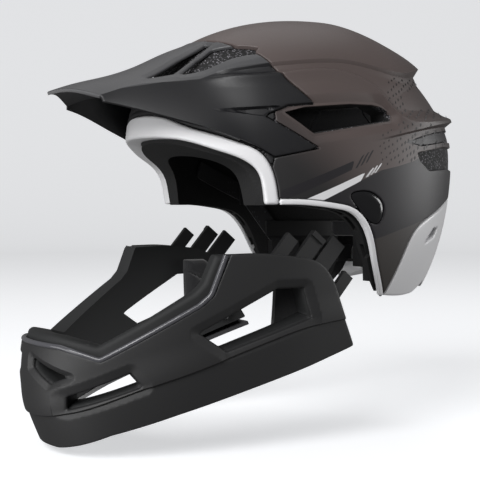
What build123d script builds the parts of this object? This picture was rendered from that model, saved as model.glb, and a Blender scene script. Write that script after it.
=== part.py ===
from build123d import *
import os
from math import cos, hypot, pi, radians, sin

# A downhill bicycle helmet with a chin guard that slides on and off.
# Millimetres. The origin is the centre of the head, +Z is up, -Y is forward and +X is the wearer's left.
# The chin guard is drawn taken off, lowered and moved forward along its docking line.

# Helmet form
helmet_width = 210
helmet_length = 283
crown_height = 100
form_drop = 170
form_centre = 8.5
roundness_share = 2.2
rear_cut = 18
rear_lean_share = 0.45
lean_start_share = 0.12
half_width = helmet_width / 2
half_length = helmet_length / 2

# Walls and gaps
shell_wall = 2.4
fit_gap = 0.3
side_wall = 25
end_wall = 34
crown_wall = 28
cavity_drop = 400
overrun = 60

# Docking of the chin guard
dock_travel = 43
dock_angle = 50
edge_gap = 0.6
tab_depth = 19.5
tab_thickness = 4
tab_gap = 0.4
chin_wall = 3.2
chin_foam = 16

dock_y = dock_travel * cos(radians(dock_angle))
dock_z = dock_travel * sin(radians(dock_angle))

# Side-view outlines as (y, z) shares of the half length from the form's centre and of the crown height.
helmet_edge_shares = [
    (-0.569, -0.44), (-0.502, -0.44), (-0.413, -0.44), (-0.208, -0.47), (-0.12, -0.5), (-0.042, -0.59),
    (0.007, -0.71), (0.049, -0.86), (0.11, -1.03), (0.145, -1.12),
]
brow_edge_shares = [
    (-1.261, 0.05), (-0.986, 0.045), (-0.894, 0.01), (-0.788, -0.055),
    (-0.675, -0.125), (-0.611, -0.205), (-0.583, -0.32), (-0.569, -0.44),
]
brow_seam_shares = [
    (-1.261, 0.22), (-0.972, 0.215), (-0.894, 0.13), (-0.788, 0.06), (-0.689, 0.0),
    (-0.597, -0.07), (-0.544, -0.175), (-0.516, -0.3), (-0.502, -0.42), (-0.495, -0.6),
]
nape_bottom_shares = [(0.145, -1.12), (0.293, -1.14), (0.576, -1.09), (0.788, -0.98), (1.141, -0.78)]
nape_front_shares = [
    (0.14, -1.25), (0.18, -1.1), (0.22, -0.945), (0.26, -0.78), (0.322, -0.62), (0.41, -0.542), (0.523, -0.476),
    (0.617, -0.422), (1.141, -0.38),
]
notch_shares = [(0.435, -0.722), (0.5, -0.625), (0.545, -0.62), (0.518, -0.68)]
visor_back_shares = [
    (-0.696, 0.807), (-0.541, 0.64), (-0.449, 0.45), (-0.329, 0.28), (-0.463, 0.26),
    (-0.576, 0.185), (-0.314, -0.04), (-0.534, -0.105),
]
peak_split_share = -0.696
visor_low_shares = [(-0.604, -0.04), (-0.682, 0.01), (peak_split_share, 0.02)]
side_vent_shares = [
    (-0.477, 0.215), (-0.375, 0.255), (-0.124, 0.287), (0.032, 0.287), (0.11, 0.228), (0.11, 0.175),
    (-0.136, 0.115), (-0.336, 0.065),
]
rear_vent_shares = [
    (0.3, -0.055), (0.548, 0.0), (0.788, 0.01), (0.788, -0.17), (0.6, -0.16), (0.4, -0.178), (0.32, -0.11),
]
button_shares = [
    (-0.131, -0.37), (-0.06, -0.34), (0.018, -0.37), (0.071, -0.46), (0.046, -0.57),
    (-0.032, -0.53), (-0.095, -0.44),
]
chin_top_shares = [(-1.686, -1.4), (-1.516, -1.42), (-1.36, -1.5), (-0.908, -1.13), (-0.852, -1.06)]
band_zone_shares = [(-1.261, -0.24), (-0.551, -0.24), (-0.526, -0.05), (-0.526, 0.48), (-1.261, 0.48)]
chin_bottom_shares = [
    (-0.053, -1.47), (-0.322, -1.59), (-0.519, -1.67), (-1.0, -1.87), (-1.297, -2.01),
    (-1.481, -2.14), (-1.686, -2.14),
]
foam_top_shares = [
    (-1.686, -1.31), (-1.53, -1.32), (-1.36, -1.39), (-0.936, -1.03), (-0.894, -0.97), (-0.837, -0.775),
]
chin_window_shares = [(-0.922, -1.315), (-0.527, -1.02), (-0.385, -1.02), (-0.332, -1.24), (-0.784, -1.45)]
chin_slit_shares = [(-1.495, -1.75), (-1.488, -1.845), (-1.177, -1.67), (-1.233, -1.575)]


def at(shares):
    """Turn shares into (y, z) points of the side view."""
    return [(form_centre + y * half_length, z * crown_height) for y, z in shares]


def undocked(points):
    """Carry points of the docked chin guard to where it stands taken off."""
    return [(y - dock_y, z - dock_z) for y, z in points]


def side_sheet(*runs):
    """A face in the side view, closed by runs: two points make a line, more a smooth curve."""
    with BuildSketch(Plane.YZ) as sheet:
        with BuildLine():
            for run in runs:
                if len(run) == 2:
                    Line(*run)
                else:
                    Spline(*run)
        make_face()
    return sheet.sketch


def side_polygon(points):
    """A straight-sided face in the side view."""
    with BuildSketch(Plane.YZ) as sheet:
        with BuildLine():
            Polyline(*points, close=True)
        make_face()
    return sheet.sketch


def plan_polygon(points):
    """A straight-sided face seen from above."""
    with BuildSketch(Plane.XY) as sheet:
        with BuildLine():
            Polyline(*points, close=True)
        make_face()
    return sheet.sketch


def chain(points):
    """The straight runs that join points one after another."""
    return [[points[i], points[i + 1]] for i in range(len(points) - 1)]


# Rounded body that both the outside and the head cavity follow
low_slice_shares = (-0.74, -0.55, -0.36, -0.18)
high_slice_shares = (0, 0.25, 0.45, 0.62, 0.76, 0.87, 0.94, 0.98, 0.997)
ring_steps = 16


def ring_points(wide, long, height_share):
    """Points round one level slice of the body."""
    shrink = (1 - abs(height_share) ** roundness_share) ** (1 / roundness_share)
    lean = rear_lean_share * (hypot(max(height_share, 0), lean_start_share) - lean_start_share)
    rear = (long - rear_cut) * (1 - lean)
    points = []
    for step in range(ring_steps):
        angle = 2 * pi * step / ring_steps
        across = abs(cos(angle)) ** (2 / roundness_share)
        along = abs(sin(angle)) ** (2 / roundness_share)
        x = wide * shrink * across * (1 if cos(angle) > 0 else -1)
        y = form_centre + shrink * along * (rear if sin(angle) > 0 else -long)
        points.append((x, y))
    return points


def rounded_body(wide, long, top, drop):
    """Loft level slices into the smooth body, open in use only below."""
    levels = [(share * form_drop, share * form_drop / drop) for share in low_slice_shares]
    levels += [(share * top, share) for share in high_slice_shares]
    with BuildPart() as body:
        for level, share in levels:
            with BuildSketch(Plane.XY.offset(level)):
                with BuildLine():
                    Spline(*ring_points(wide, long, share), periodic=True)
                make_face()
        loft()
    return body.part


def form(inset):
    """The helmet's outer body drawn in by an inset."""
    return rounded_body(half_width - inset, half_length - inset, crown_height - inset, form_drop)


def cavity(inset):
    """The head cavity drawn in by an inset."""
    wide = half_width - side_wall - inset
    long = half_length - end_wall - inset
    return rounded_body(wide, long, crown_height - crown_wall - inset, cavity_drop)


outer_form = form(0)
inner_form = form(shell_wall)
liner_form = form(shell_wall + fit_gap)
head_form = cavity(0)

# Outlines shared by the pieces of the helmet
helmet_edge = at(helmet_edge_shares)
brow_edge = at(brow_edge_shares)
brow_seam = at(brow_seam_shares)
nape_bottom = at(nape_bottom_shares)
nape_front = at(nape_front_shares)
visor_back = at(visor_back_shares)
visor_low = at(visor_low_shares)
far_front = brow_edge[0][0]
far_rear = nape_bottom[-1][0]
far_top = crown_height + overrun
far_low = -crown_height - overrun

body_sheet = side_sheet(
    brow_edge,
    helmet_edge,
    nape_bottom,
    *chain([nape_bottom[-1], (far_rear, far_top), (far_front, far_top), brow_edge[0]]),
)


def beside(points, distance, closed=False):
    """Move a line or a ring of points sideways, to the left of its own direction."""
    moved = []
    last = len(points) - 1
    for i, (y, z) in enumerate(points):
        before = points[i - 1 if i or closed else 0]
        after = points[(i + 1) % len(points) if closed else min(i + 1, last)]
        run = hypot(after[0] - before[0], after[1] - before[1])
        moved.append((y - distance * (after[1] - before[1]) / run, z + distance * (after[0] - before[0]) / run))
    return moved


def prism(sheet):
    """A side-view face carried across the whole width."""
    with BuildPart() as block:
        extrude(sheet, amount=helmet_width, both=True)
    return block.part


def slab(low, high):
    """A block between two corners."""
    size = [top - base for base, top in zip(low, high)]
    middle = [(top + base) / 2 for base, top in zip(low, high)]
    with BuildPart() as block:
        with Locations(tuple(middle)):
            Box(*size)
    return block.part


# Regions of the side view that the shell, trims, nape piece and visor share out
trim_width = 4.5
trim_depth = 8
face_trim_depth = 12
lower_seam = beside(helmet_edge, trim_width)
seam_foot = brow_seam[-1]
body_block = prism(body_sheet)
face_block = prism(side_sheet(
    brow_seam,
    *chain([seam_foot, (far_front, seam_foot[1]), brow_seam[0]]),
))
lower_block = prism(side_sheet(
    lower_seam,
    *chain([lower_seam[-1], (lower_seam[-1][0], far_low), (lower_seam[0][0], far_low), lower_seam[0]]),
))
nape_block = prism(side_sheet(
    nape_front,
    *chain([nape_front[-1], (nape_front[-1][0], far_low), (nape_front[0][0], far_low), nape_front[0]]),
))
flush_block = prism(side_polygon(visor_back + visor_low))
band_block = prism(side_polygon(at(band_zone_shares)))
far_side = helmet_width
peak_split = at([(peak_split_share, 0)])[0][0]
front_block = slab((-far_side, -helmet_length, far_low), (far_side, peak_split, far_top))

# Plan outlines as (x, y) shares of the half width and of the half length
spine_vent_shares = [
    (0.324, -1.035), (0.278, -0.859), (0.255, -0.689), (0.31, -0.675), (0.335, -0.777), (0.385, -0.915),
]
brow_vent_shares = [
    (0.425, -0.88), (0.385, -0.784), (0.378, -0.696), (0.481, -0.611), (0.61, -0.516), (0.633, -0.551),
    (0.552, -0.675),
]
visor_front_shares = [(0, -1.481), (0.362, -1.29), (1.143, -1.12)]


def plan_at(shares, side=1):
    """Turn shares into (x, y) points seen from above."""
    return [(side * x * half_width, form_centre + y * half_length) for x, y in shares]


def column(points):
    """A plan face carried up and down past the helmet."""
    with BuildPart() as block:
        extrude(plan_polygon(points), amount=far_top, both=True)
    return block.part


top_vents = [column(plan_at(shares, side)) for shares in (spine_vent_shares, brow_vent_shares) for side in (1, -1)]
side_vents = prism(side_polygon(at(side_vent_shares)))
rear_vents = prism(side_polygon(at(rear_vent_shares)))

# Visor sections from the brow to the tip: station, then (x, z) of its low edge, side, crease, upper face and ridge,
# as shares of the half length, half width and crown height
peak_shares = [
    (-0.526, (0.867, -0.14), (0.848, 0.22), (0.762, 0.46), (0.5, 0.737), 0.865),
    (-0.682, (0.81, 0.0), (0.762, 0.22), (0.67, 0.45), (0.4, 0.66), 0.774),
    (-0.795, (0.762, 0.07), (0.686, 0.25), (0.571, 0.44), (0.333, 0.62), 0.72),
    (-0.986, (0.619, 0.16), (0.548, 0.29), (0.457, 0.425), (0.248, 0.535), 0.595),
    (-1.191, (0.438, 0.25), (0.41, 0.31), (0.371, 0.375), (0.19, 0.455), 0.49),
    (-1.332, (0.352, 0.288), (0.35, 0.295), (0.343, 0.305), (0.171, 0.4), 0.437),
    (-1.516, (0.333, 0.275), (0.331, 0.28), (0.324, 0.285), (0.171, 0.325), 0.345),
]
visor_wall = 2.6


def peak_body(inset):
    """The visor's outer form, or its hollow when drawn in."""
    with BuildPart() as body:
        for station, low, flank, crease, upper, ridge in peak_shares:
            spots = [(x * half_width - inset, z * crown_height) for x, z in (low, flank, crease)]
            spots[2] = (spots[2][0], spots[2][1] - inset)
            brow = (upper[0] * half_width, upper[1] * crown_height - inset)
            top = (0, ridge * crown_height - inset)
            floor = spots[0][1] - (overrun if inset else 0)
            left, right = spots, [(-x, z) for x, z in spots]
            with BuildSketch(Plane.XZ.offset(-form_centre - station * half_length)):
                with BuildLine():
                    Spline(left[0], left[1], left[2])
                    Spline(left[2], brow, top, (-brow[0], brow[1]), right[2])
                    Spline(right[2], right[1], right[0])
                    Polyline(right[0], (right[0][0], floor - visor_wall), (left[0][0], floor - visor_wall), left[0])
                make_face()
        loft()
    return body.part


peak_form = peak_body(0)
peak_hollow = peak_body(visor_wall)
visor_front = plan_at(visor_front_shares)
visor_plan = column(
    visor_front
    + [(visor_front[-1][0], helmet_length), (-visor_front[-1][0], helmet_length)]
    + [(-x, y) for x, y in visor_front[:0:-1]]
)

with BuildPart() as brow_room:
    add(outer_form)
    add(front_block, mode=Mode.INTERSECT)

with BuildPart() as visor_reach:
    add(flush_block)
    add(front_block)
    add(visor_plan, mode=Mode.INTERSECT)

with BuildPart() as visor:
    add(outer_form)
    add(peak_form)
    add(visor_reach.part, mode=Mode.INTERSECT)
    add(inner_form, mode=Mode.SUBTRACT)
    add(peak_hollow, mode=Mode.SUBTRACT)
    add(brow_room.part, mode=Mode.SUBTRACT)
    for vent in top_vents:
        add(vent, mode=Mode.SUBTRACT)
    whole = visor.part.solids().sort_by(SortBy.VOLUME)[-1]
    add(whole, mode=Mode.REPLACE)


def finish(piece, name):
    """Label a piece and write it."""
    piece.label = name
    export_step(piece, f"parts/{name}.step")


os.makedirs("parts", exist_ok=True)
finish(visor.part, "visor")

# Raised crest and the two stepped fins at the back of the shell
crest_rise = 1.6
upper_fin_rise = 9
lower_fin_rise = 5
crest_shares = [(0.6, -0.62), (0.72, -0.1), (0.62, 0.5), (0.36, 0.86)]
upper_fin_shares = [(0.3, 0.9), (0.84, 0.56), (1.2, 0.5), (1.2, 1.2), (0.3, 1.2)]
lower_fin_shares = [(0.45, 0.34), (1.2, 0.34), (1.2, 0.02), (0.85, 0.06), (0.45, 0.2)]
crest_form = form(-crest_rise)
crest_plan = plan_at(crest_shares)
crest_column = column(crest_plan + [(-x, y) for x, y in reversed(crest_plan)])

with BuildPart() as crest:
    add(crest_form)
    add(crest_column, mode=Mode.INTERSECT)
    add(slab((-far_side, -far_side, 0), (far_side, far_side, far_top)), mode=Mode.INTERSECT)

with BuildPart() as upper_fin:
    with Locations((0, upper_fin_rise, 0)):
        add(outer_form)
    add(prism(side_polygon(at(upper_fin_shares))), mode=Mode.INTERSECT)

with BuildPart() as lower_fin:
    with Locations((0, lower_fin_rise, 0)):
        add(outer_form)
    add(prism(side_polygon(at(lower_fin_shares))), mode=Mode.INTERSECT)

# Places across the width, measured inwards from the helmet's side
button_gap = 0.4
button_depth = 10
button_travel = 2
button_rise = 0.8
stem_radius = 3.2
stem_length = 3.6
socket_wall = 2.5
barb_height = 1.2
tab_inner = half_width - tab_depth - tab_thickness / 2
tab_outer = tab_inner + tab_thickness
block_inner = tab_inner - tab_gap - socket_wall
block_outer = tab_outer + barb_height + tab_gap + socket_wall / 2
button_inner = half_width - button_depth


def spread(sheet, low, high):
    """A side-view face carried from one distance across the width to another."""
    with BuildPart() as block:
        extrude(sheet.moved(Location((low, 0, 0))), amount=high - low)
    return block.part


def both_sides(piece):
    """A left piece and its mirror image, as one."""
    with BuildPart() as pair:
        add(piece)
        mirror(about=Plane.YZ)
    return pair.part


def mirrored(piece):
    """The right-hand twin of a left piece."""
    with BuildPart() as twin:
        add(piece)
        mirror(about=Plane.YZ, mode=Mode.REPLACE)
    return twin.part


def leaf(margin):
    """The release button's outline, widened by a margin."""
    with BuildSketch(Plane.YZ) as sheet:
        with BuildLine():
            Spline(*beside(at(button_shares), margin, closed=True), periodic=True)
        make_face()
    return sheet.sketch


button_hole = both_sides(spread(leaf(button_gap), button_inner - button_travel - fit_gap, far_side))

# Prongs of the chin guard as they stand docked: where the foot is, how wide each is and how far it stands past it
prong_foot_shares = [(-0.279, -0.45), (-0.145, -0.48), (-0.039, -0.54), (0.032, -0.77)]
prong_widths = (10, 12, 13, 9)
prong_lengths = (15, 20, 22, 20)
prong_feet = at(prong_foot_shares)
prongs = list(zip(prong_feet, prong_widths, prong_lengths))
prong_root = 9
hooked_prong = 1
barb_length = 4
slide_y = cos(radians(dock_angle))
slide_z = sin(radians(dock_angle))


def bar(foot, width, start, end):
    """A straight bar's outline along the docking line, from start to end past its foot."""
    y, z = foot
    half = width / 2
    corners = ((start, -half), (end, -half), (end, half), (start, half))
    return [(y + along * slide_y + off * slide_z, z + along * slide_z - off * slide_y) for along, off in corners]


pocket_spare = 1.5
with BuildPart() as pockets:
    for number, (foot, width, length) in enumerate(prongs):
        outline = side_polygon(bar(foot, width + 2 * tab_gap, -2 * prong_root, length + pocket_spare))
        top = tab_outer + tab_gap + (barb_height if number == hooked_prong else 0)
        add(spread(outline, tab_inner - tab_gap, top))
pocket_pair = both_sides(pockets.part)

stem_share = (-0.035, -0.44)
stem_centre = at([stem_share])[0]
spring_wire = 0.5
spring_radius = 4.2
spring_turns = 3
spring_length = button_inner - block_outer - 2 * spring_wire
socket_shares = [(-0.371, -0.2), (0.095, -0.2), (0.2, -0.5), (0.2, -0.74), (0.13, -0.86)]
socket_lift = 1.2
socket_floor = beside(helmet_edge, trim_width + socket_lift)[2:8]
socket_sheet = side_sheet(socket_floor, *chain([socket_floor[-1]] + at(socket_shares)[::-1] + [socket_floor[0]]))
with BuildPart() as socket_left:
    add(spread(socket_sheet, block_inner, block_outer))
    add(pockets.part, mode=Mode.SUBTRACT)
    with BuildSketch(Plane.YZ.offset(block_inner)):
        with Locations(stem_centre):
            Circle(stem_radius + button_gap)
    extrude(amount=block_outer - block_inner, mode=Mode.SUBTRACT)
socket_pair = both_sides(spread(socket_sheet, block_inner, block_outer))

with BuildPart() as outer_shell:
    add(outer_form)
    add(crest.part)
    add(upper_fin.part)
    add(lower_fin.part)
    add(body_block, mode=Mode.INTERSECT)
    add(inner_form, mode=Mode.SUBTRACT)
    for block in (face_block, lower_block, nape_block, flush_block, front_block, band_block):
        add(block, mode=Mode.SUBTRACT)
    for block in (side_vents, rear_vents, button_hole):
        add(block, mode=Mode.SUBTRACT)
    for vent in top_vents:
        add(vent, mode=Mode.SUBTRACT)
    whole = outer_shell.part.solids().sort_by(SortBy.VOLUME)[-1]
    add(whole, mode=Mode.REPLACE)

with BuildPart() as brow_band:
    add(outer_form)
    add(inner_form, mode=Mode.SUBTRACT)
    add(band_block, mode=Mode.INTERSECT)
    add(face_block, mode=Mode.SUBTRACT)
    add(flush_block, mode=Mode.SUBTRACT)
    whole = brow_band.part.solids().sort_by(SortBy.VOLUME)[-1]
    add(whole, mode=Mode.REPLACE)

# White trims: one round the face opening, one along each lower edge, and the nape piece with its notches
trim_form = form(trim_depth)
face_trim_form = form(face_trim_depth)

with BuildPart() as face_trim:
    add(outer_form)
    add(face_trim_form, mode=Mode.SUBTRACT)
    add(body_block, mode=Mode.INTERSECT)
    add(face_block, mode=Mode.INTERSECT)

with BuildPart() as lower_trim_left:
    add(outer_form)
    add(trim_form, mode=Mode.SUBTRACT)
    add(body_block, mode=Mode.INTERSECT)
    add(lower_block, mode=Mode.INTERSECT)
    add(face_block, mode=Mode.SUBTRACT)
    add(nape_block, mode=Mode.SUBTRACT)
    add(pocket_pair, mode=Mode.SUBTRACT)
    add(slab((0, -far_side, far_low), (far_side, far_side, 0)), mode=Mode.INTERSECT)

with BuildPart() as nape_piece:
    add(outer_form)
    add(trim_form, mode=Mode.SUBTRACT)
    add(body_block, mode=Mode.INTERSECT)
    add(nape_block, mode=Mode.INTERSECT)
    add(prism(side_polygon(at(notch_shares))), mode=Mode.SUBTRACT)

# Foam liner
recess_half = 52
recess_y_share = 0.433
recess_top_share = -0.66
anchor_radius = 7
anchor_depth = 4
anchor_shares = [(-0.4, -0.14), (0.378, -0.14)]
anchor_spots = at(anchor_shares)
anchor_floor = cavity(-anchor_depth)
face_room_form = form(face_trim_depth + fit_gap)
edge_room_form = form(trim_depth + fit_gap)
with BuildPart() as face_room:
    add(face_block)
    add(face_room_form, mode=Mode.SUBTRACT)

with BuildPart() as lower_room:
    add(lower_block)
    add(edge_room_form, mode=Mode.SUBTRACT)

with BuildPart() as nape_room:
    add(nape_block)
    add(edge_room_form, mode=Mode.SUBTRACT)

with BuildPart() as anchor_pins:
    with BuildSketch(Plane.YZ):
        with Locations(*anchor_spots):
            Circle(anchor_radius)
    extrude(amount=far_side, both=True)

with BuildPart() as strap_anchors:
    add(anchor_floor)
    add(head_form, mode=Mode.SUBTRACT)
    add(anchor_pins.part, mode=Mode.INTERSECT)

with BuildPart() as spring_room:
    with BuildSketch(Plane.YZ.offset(block_outer)):
        with Locations(stem_centre):
            Circle(spring_radius + spring_wire + button_gap)
    extrude(amount=button_depth)
    mirror(about=Plane.YZ)

recess_y, recess_top = at([(recess_y_share, recess_top_share)])[0]
with BuildPart() as eps_liner:
    add(liner_form)
    add(body_block, mode=Mode.INTERSECT)
    add(head_form, mode=Mode.SUBTRACT)
    for block in (face_room.part, lower_room.part, nape_room.part):
        add(block, mode=Mode.SUBTRACT)
    for block in (side_vents, button_hole, socket_pair, pocket_pair):
        add(block, mode=Mode.SUBTRACT)
    add(slab((-recess_half, recess_y, far_low), (recess_half, far_side, recess_top)), mode=Mode.SUBTRACT)
    add(strap_anchors.part, mode=Mode.SUBTRACT)
    add(spring_room.part, mode=Mode.SUBTRACT)
    for trim in (lower_trim_left.part, mirrored(lower_trim_left.part)):
        add(trim, mode=Mode.SUBTRACT)
    whole = eps_liner.part.solids().sort_by(SortBy.VOLUME)[-1]
    add(whole, mode=Mode.REPLACE)

finish(outer_shell.part, "outer_shell")
finish(eps_liner.part, "eps_liner")
finish(strap_anchors.part, "strap_anchors")
finish(brow_band.part, "brow_band")
finish(face_trim.part, "face_trim")
finish(lower_trim_left.part, "lower_trim_left")
finish(mirrored(lower_trim_left.part), "lower_trim_right")
finish(nape_piece.part, "nape_piece")
finish(socket_left.part, "socket_left")
finish(mirrored(socket_left.part), "socket_right")

# Release buttons with their stems and return springs
with BuildPart() as release_button_left:
    add(form(-button_rise))
    add(spread(leaf(0), button_inner, far_side), mode=Mode.INTERSECT)
    with BuildSketch(Plane.YZ.offset(button_inner - stem_length)):
        with Locations(stem_centre):
            Circle(stem_radius)
    extrude(amount=stem_length)

with BuildPart() as button_spring_left:
    with BuildLine():
        coil = Helix(
            pitch=spring_length / spring_turns,
            height=spring_length,
            radius=spring_radius,
            center=(block_outer + spring_wire, *stem_centre),
            direction=(1, 0, 0),
        )
    with BuildSketch(Plane(origin=coil @ 0, z_dir=coil % 0)):
        Circle(spring_wire)
    sweep(path=coil)

for side, twin in (("left", lambda piece: piece), ("right", mirrored)):
    finish(twin(release_button_left.part), f"release_button_{side}")
    finish(twin(button_spring_left.part), f"button_spring_{side}")

# Chin guard: horseshoe slices as level and (x, y) shares from the rear of the arm to the nose
chin_slice_shares = [
    (
        -0.68,
        (0.924, 0.025), (0.952, -0.343), (0.905, -0.625), (0.8, -0.908),
        (0.629, -1.191), (0.362, -1.438), (0, -1.523),
    ),
    (
        -1.15,
        (0.905, 0.025), (0.933, -0.343), (0.9, -0.625), (0.819, -0.908),
        (0.667, -1.191), (0.4, -1.459), (0, -1.558),
    ),
    (
        -1.65,
        (0.8, 0.025), (0.857, -0.343), (0.848, -0.625), (0.8, -0.908),
        (0.686, -1.191), (0.429, -1.488), (0, -1.608),
    ),
    (
        -2.18,
        (0.705, 0.025), (0.762, -0.343), (0.762, -0.625), (0.724, -0.908),
        (0.619, -1.155), (0.4, -1.389), (0, -1.495),
    ),
]


def chin_body(inset):
    """The chin guard's filled outer form, or the same drawn in."""
    with BuildPart() as body:
        for level, *arm in chin_slice_shares:
            left = plan_at(arm)
            ring = left + [(-x, y) for x, y in left[-2::-1]]
            ring = beside(ring, -inset)
            with BuildSketch(Plane.XY.offset(level * crown_height)):
                with BuildLine():
                    Spline(*ring)
                    Line(ring[-1], ring[0])
                make_face()
        loft()
    return body.part


# The arm's edge follows the helmet's lower edge and leaves a small gap when docked
chin_edge = undocked([(y - edge_gap * slide_y, z - edge_gap * slide_z) for y, z in helmet_edge])
chin_top = at(chin_top_shares)
chin_bottom = at(chin_bottom_shares)
foam_top = at(foam_top_shares)
chin_outline = prism(side_sheet(
    chin_edge,
    *chain([chin_edge[-1]] + chin_bottom + [chin_top[0]]),
    *chain(chin_top + [chin_edge[0]]),
))
lip_height = 3
foam_bottom = beside(chin_bottom, -lip_height)
foam_outline = prism(side_sheet(
    chin_edge,
    *chain([chin_edge[-1]] + foam_bottom + [foam_top[0]]),
    *chain(foam_top + [chin_edge[0]]),
))

# Openings of the chin guard: a large window and a low slit in each side, and a vent each side of the nose
chin_window = at(chin_window_shares)
chin_slit = at(chin_slit_shares)
front_vent_shares = [(0.114, -1.5), (0.429, -1.61), (0.295, -1.675), (0.114, -1.57)]
slit_inner = 30
with BuildPart() as nose_vents:
    for side in (1, -1):
        with BuildSketch(Plane.XZ):
            with BuildLine():
                Polyline(*[(side * x * half_width, z * crown_height) for x, z in front_vent_shares], close=True)
            make_face()
        extrude(amount=helmet_length)

with BuildPart() as chin_openings:
    add(prism(side_polygon(chin_window)))
    add(both_sides(spread(side_polygon(chin_slit), slit_inner, far_side)))
    add(nose_vents.part)

chin_form = chin_body(0)
chin_hollow = chin_body(chin_wall)
foam_form = chin_body(chin_wall + fit_gap)
foam_hollow = chin_body(chin_wall + fit_gap + chin_foam)

# Prong frames: a plate along the arm's edge with four prongs, the second hooked
plate_spread = 12
plate_inset = 1
plate_path = chin_edge[2:8]
plate_near = beside(plate_path, -plate_inset)
plate_far = beside(plate_path, -plate_inset - plate_spread)
plate_sheet = side_sheet(
    plate_near,
    [plate_near[-1], plate_far[-1]],
    plate_far[::-1],
    [plate_far[0], plate_near[0]],
)
with BuildPart() as prong_frame_left:
    add(spread(plate_sheet, tab_inner, tab_outer))
    for number, (foot, width, length) in enumerate(prongs):
        add(spread(side_polygon(undocked(bar(foot, width, -prong_root, length))), tab_inner, tab_outer))
        if number == hooked_prong:
            barb = side_polygon(undocked(bar(foot, width, length - barb_length, length)))
            add(spread(barb, tab_outer, tab_outer + barb_height))

with BuildPart() as chin_shell:
    add(chin_form)
    add(chin_outline, mode=Mode.INTERSECT)
    add(chin_hollow, mode=Mode.SUBTRACT)
    add(chin_openings.part, mode=Mode.SUBTRACT)
    whole = chin_shell.part.solids().sort_by(SortBy.VOLUME)[-1]
    add(whole, mode=Mode.REPLACE)

with BuildPart() as chin_liner:
    add(foam_form)
    add(foam_outline, mode=Mode.INTERSECT)
    add(foam_hollow, mode=Mode.SUBTRACT)
    add(chin_openings.part, mode=Mode.SUBTRACT)
    add(both_sides(prong_frame_left.part), mode=Mode.SUBTRACT)
    whole = chin_liner.part.solids().sort_by(SortBy.VOLUME)[-1]
    add(whole, mode=Mode.REPLACE)

# Glossy piping on the shell's top edge and a lip under its low edge
piping_height = 3
piping_path = chin_top
piping_top = beside(piping_path, piping_height)
piping_block = prism(side_polygon(piping_path + piping_top[::-1]))
lip_block = prism(side_polygon(chin_bottom + foam_bottom[::-1]))
with BuildPart() as chin_piping:
    add(chin_form)
    add(piping_block, mode=Mode.INTERSECT)
    add(chin_hollow, mode=Mode.SUBTRACT)

with BuildPart() as chin_lip:
    add(foam_form)
    add(lip_block, mode=Mode.INTERSECT)
    add(foam_hollow, mode=Mode.SUBTRACT)

# Cheek pads inside the arms
cheek_pad_depth = 11
cheek_shares = [
    (-0.47, -0.9), (-0.343, -0.9), (-0.272, -0.97), (-0.216, -1.1), (-0.159, -1.3), (-0.201, -1.42),
    (-0.47, -1.35),
]
cheek_near = chin_body(chin_wall + 2 * fit_gap + chin_foam)
cheek_far = chin_body(chin_wall + 2 * fit_gap + chin_foam + cheek_pad_depth)
with BuildPart() as cheek_pad_left:
    add(cheek_near)
    add(prism(side_polygon(at(cheek_shares))), mode=Mode.INTERSECT)
    add(cheek_far, mode=Mode.SUBTRACT)
    add(slab((0, -helmet_length, -helmet_length), (far_side, far_side, far_side)), mode=Mode.INTERSECT)

finish(chin_shell.part, "chin_shell")
finish(chin_liner.part, "chin_liner")
finish(chin_piping.part, "chin_piping")
finish(chin_lip.part, "chin_lip")
for side, twin in (("left", lambda piece: piece), ("right", mirrored)):
    finish(twin(prong_frame_left.part), f"prong_frame_{side}")
    finish(twin(cheek_pad_left.part), f"cheek_pad_{side}")

# Pads inside the helmet, laid on the liner
pad_depth = 6
pad_outside = cavity(fit_gap)
pad_inside = cavity(fit_gap + pad_depth)


def lining(outside, inside, *regions):
    """A layer on the cavity wall, kept where the regions are."""
    with BuildPart() as layer:
        add(outside)
        add(inside, mode=Mode.SUBTRACT)
        for region in regions:
            add(region, mode=Mode.INTERSECT)
    return layer.part


brow_pad_shares = [(-1.261, 0.1), (-0.35, 0.1), (-0.35, 0.34), (-1.261, 0.34)]
rear_pad_shares = [(0.152, -0.04), (0.54, -0.04), (0.54, 0.38), (0.152, 0.38)]
crown_pad_shares = [(-0.086, -0.484), (0.086, -0.484), (0.086, 0.37), (-0.086, 0.37)]
side_crown_shares = [(0.305, -0.343), (0.457, -0.343), (0.457, 0.293), (0.305, 0.293)]
left_half = slab((0, -far_side, -far_side), (far_side, far_side, far_side))
upper_half = slab((-far_side, -far_side, 0), (far_side, far_side, far_side))
brow_pad = lining(pad_outside, pad_inside, prism(side_polygon(at(brow_pad_shares))))
rear_pad_left = lining(pad_outside, pad_inside, prism(side_polygon(at(rear_pad_shares))), left_half)
with BuildPart() as crown_zone:
    add(column(plan_at(crown_pad_shares)))
    add(both_sides(column(plan_at(side_crown_shares))))
crown_pads = lining(pad_outside, pad_inside, crown_zone.part, upper_half)
finish(brow_pad, "brow_pad")
finish(crown_pads, "crown_pads")
finish(rear_pad_left, "rear_pad_left")
finish(mirrored(rear_pad_left), "rear_pad_right")

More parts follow.
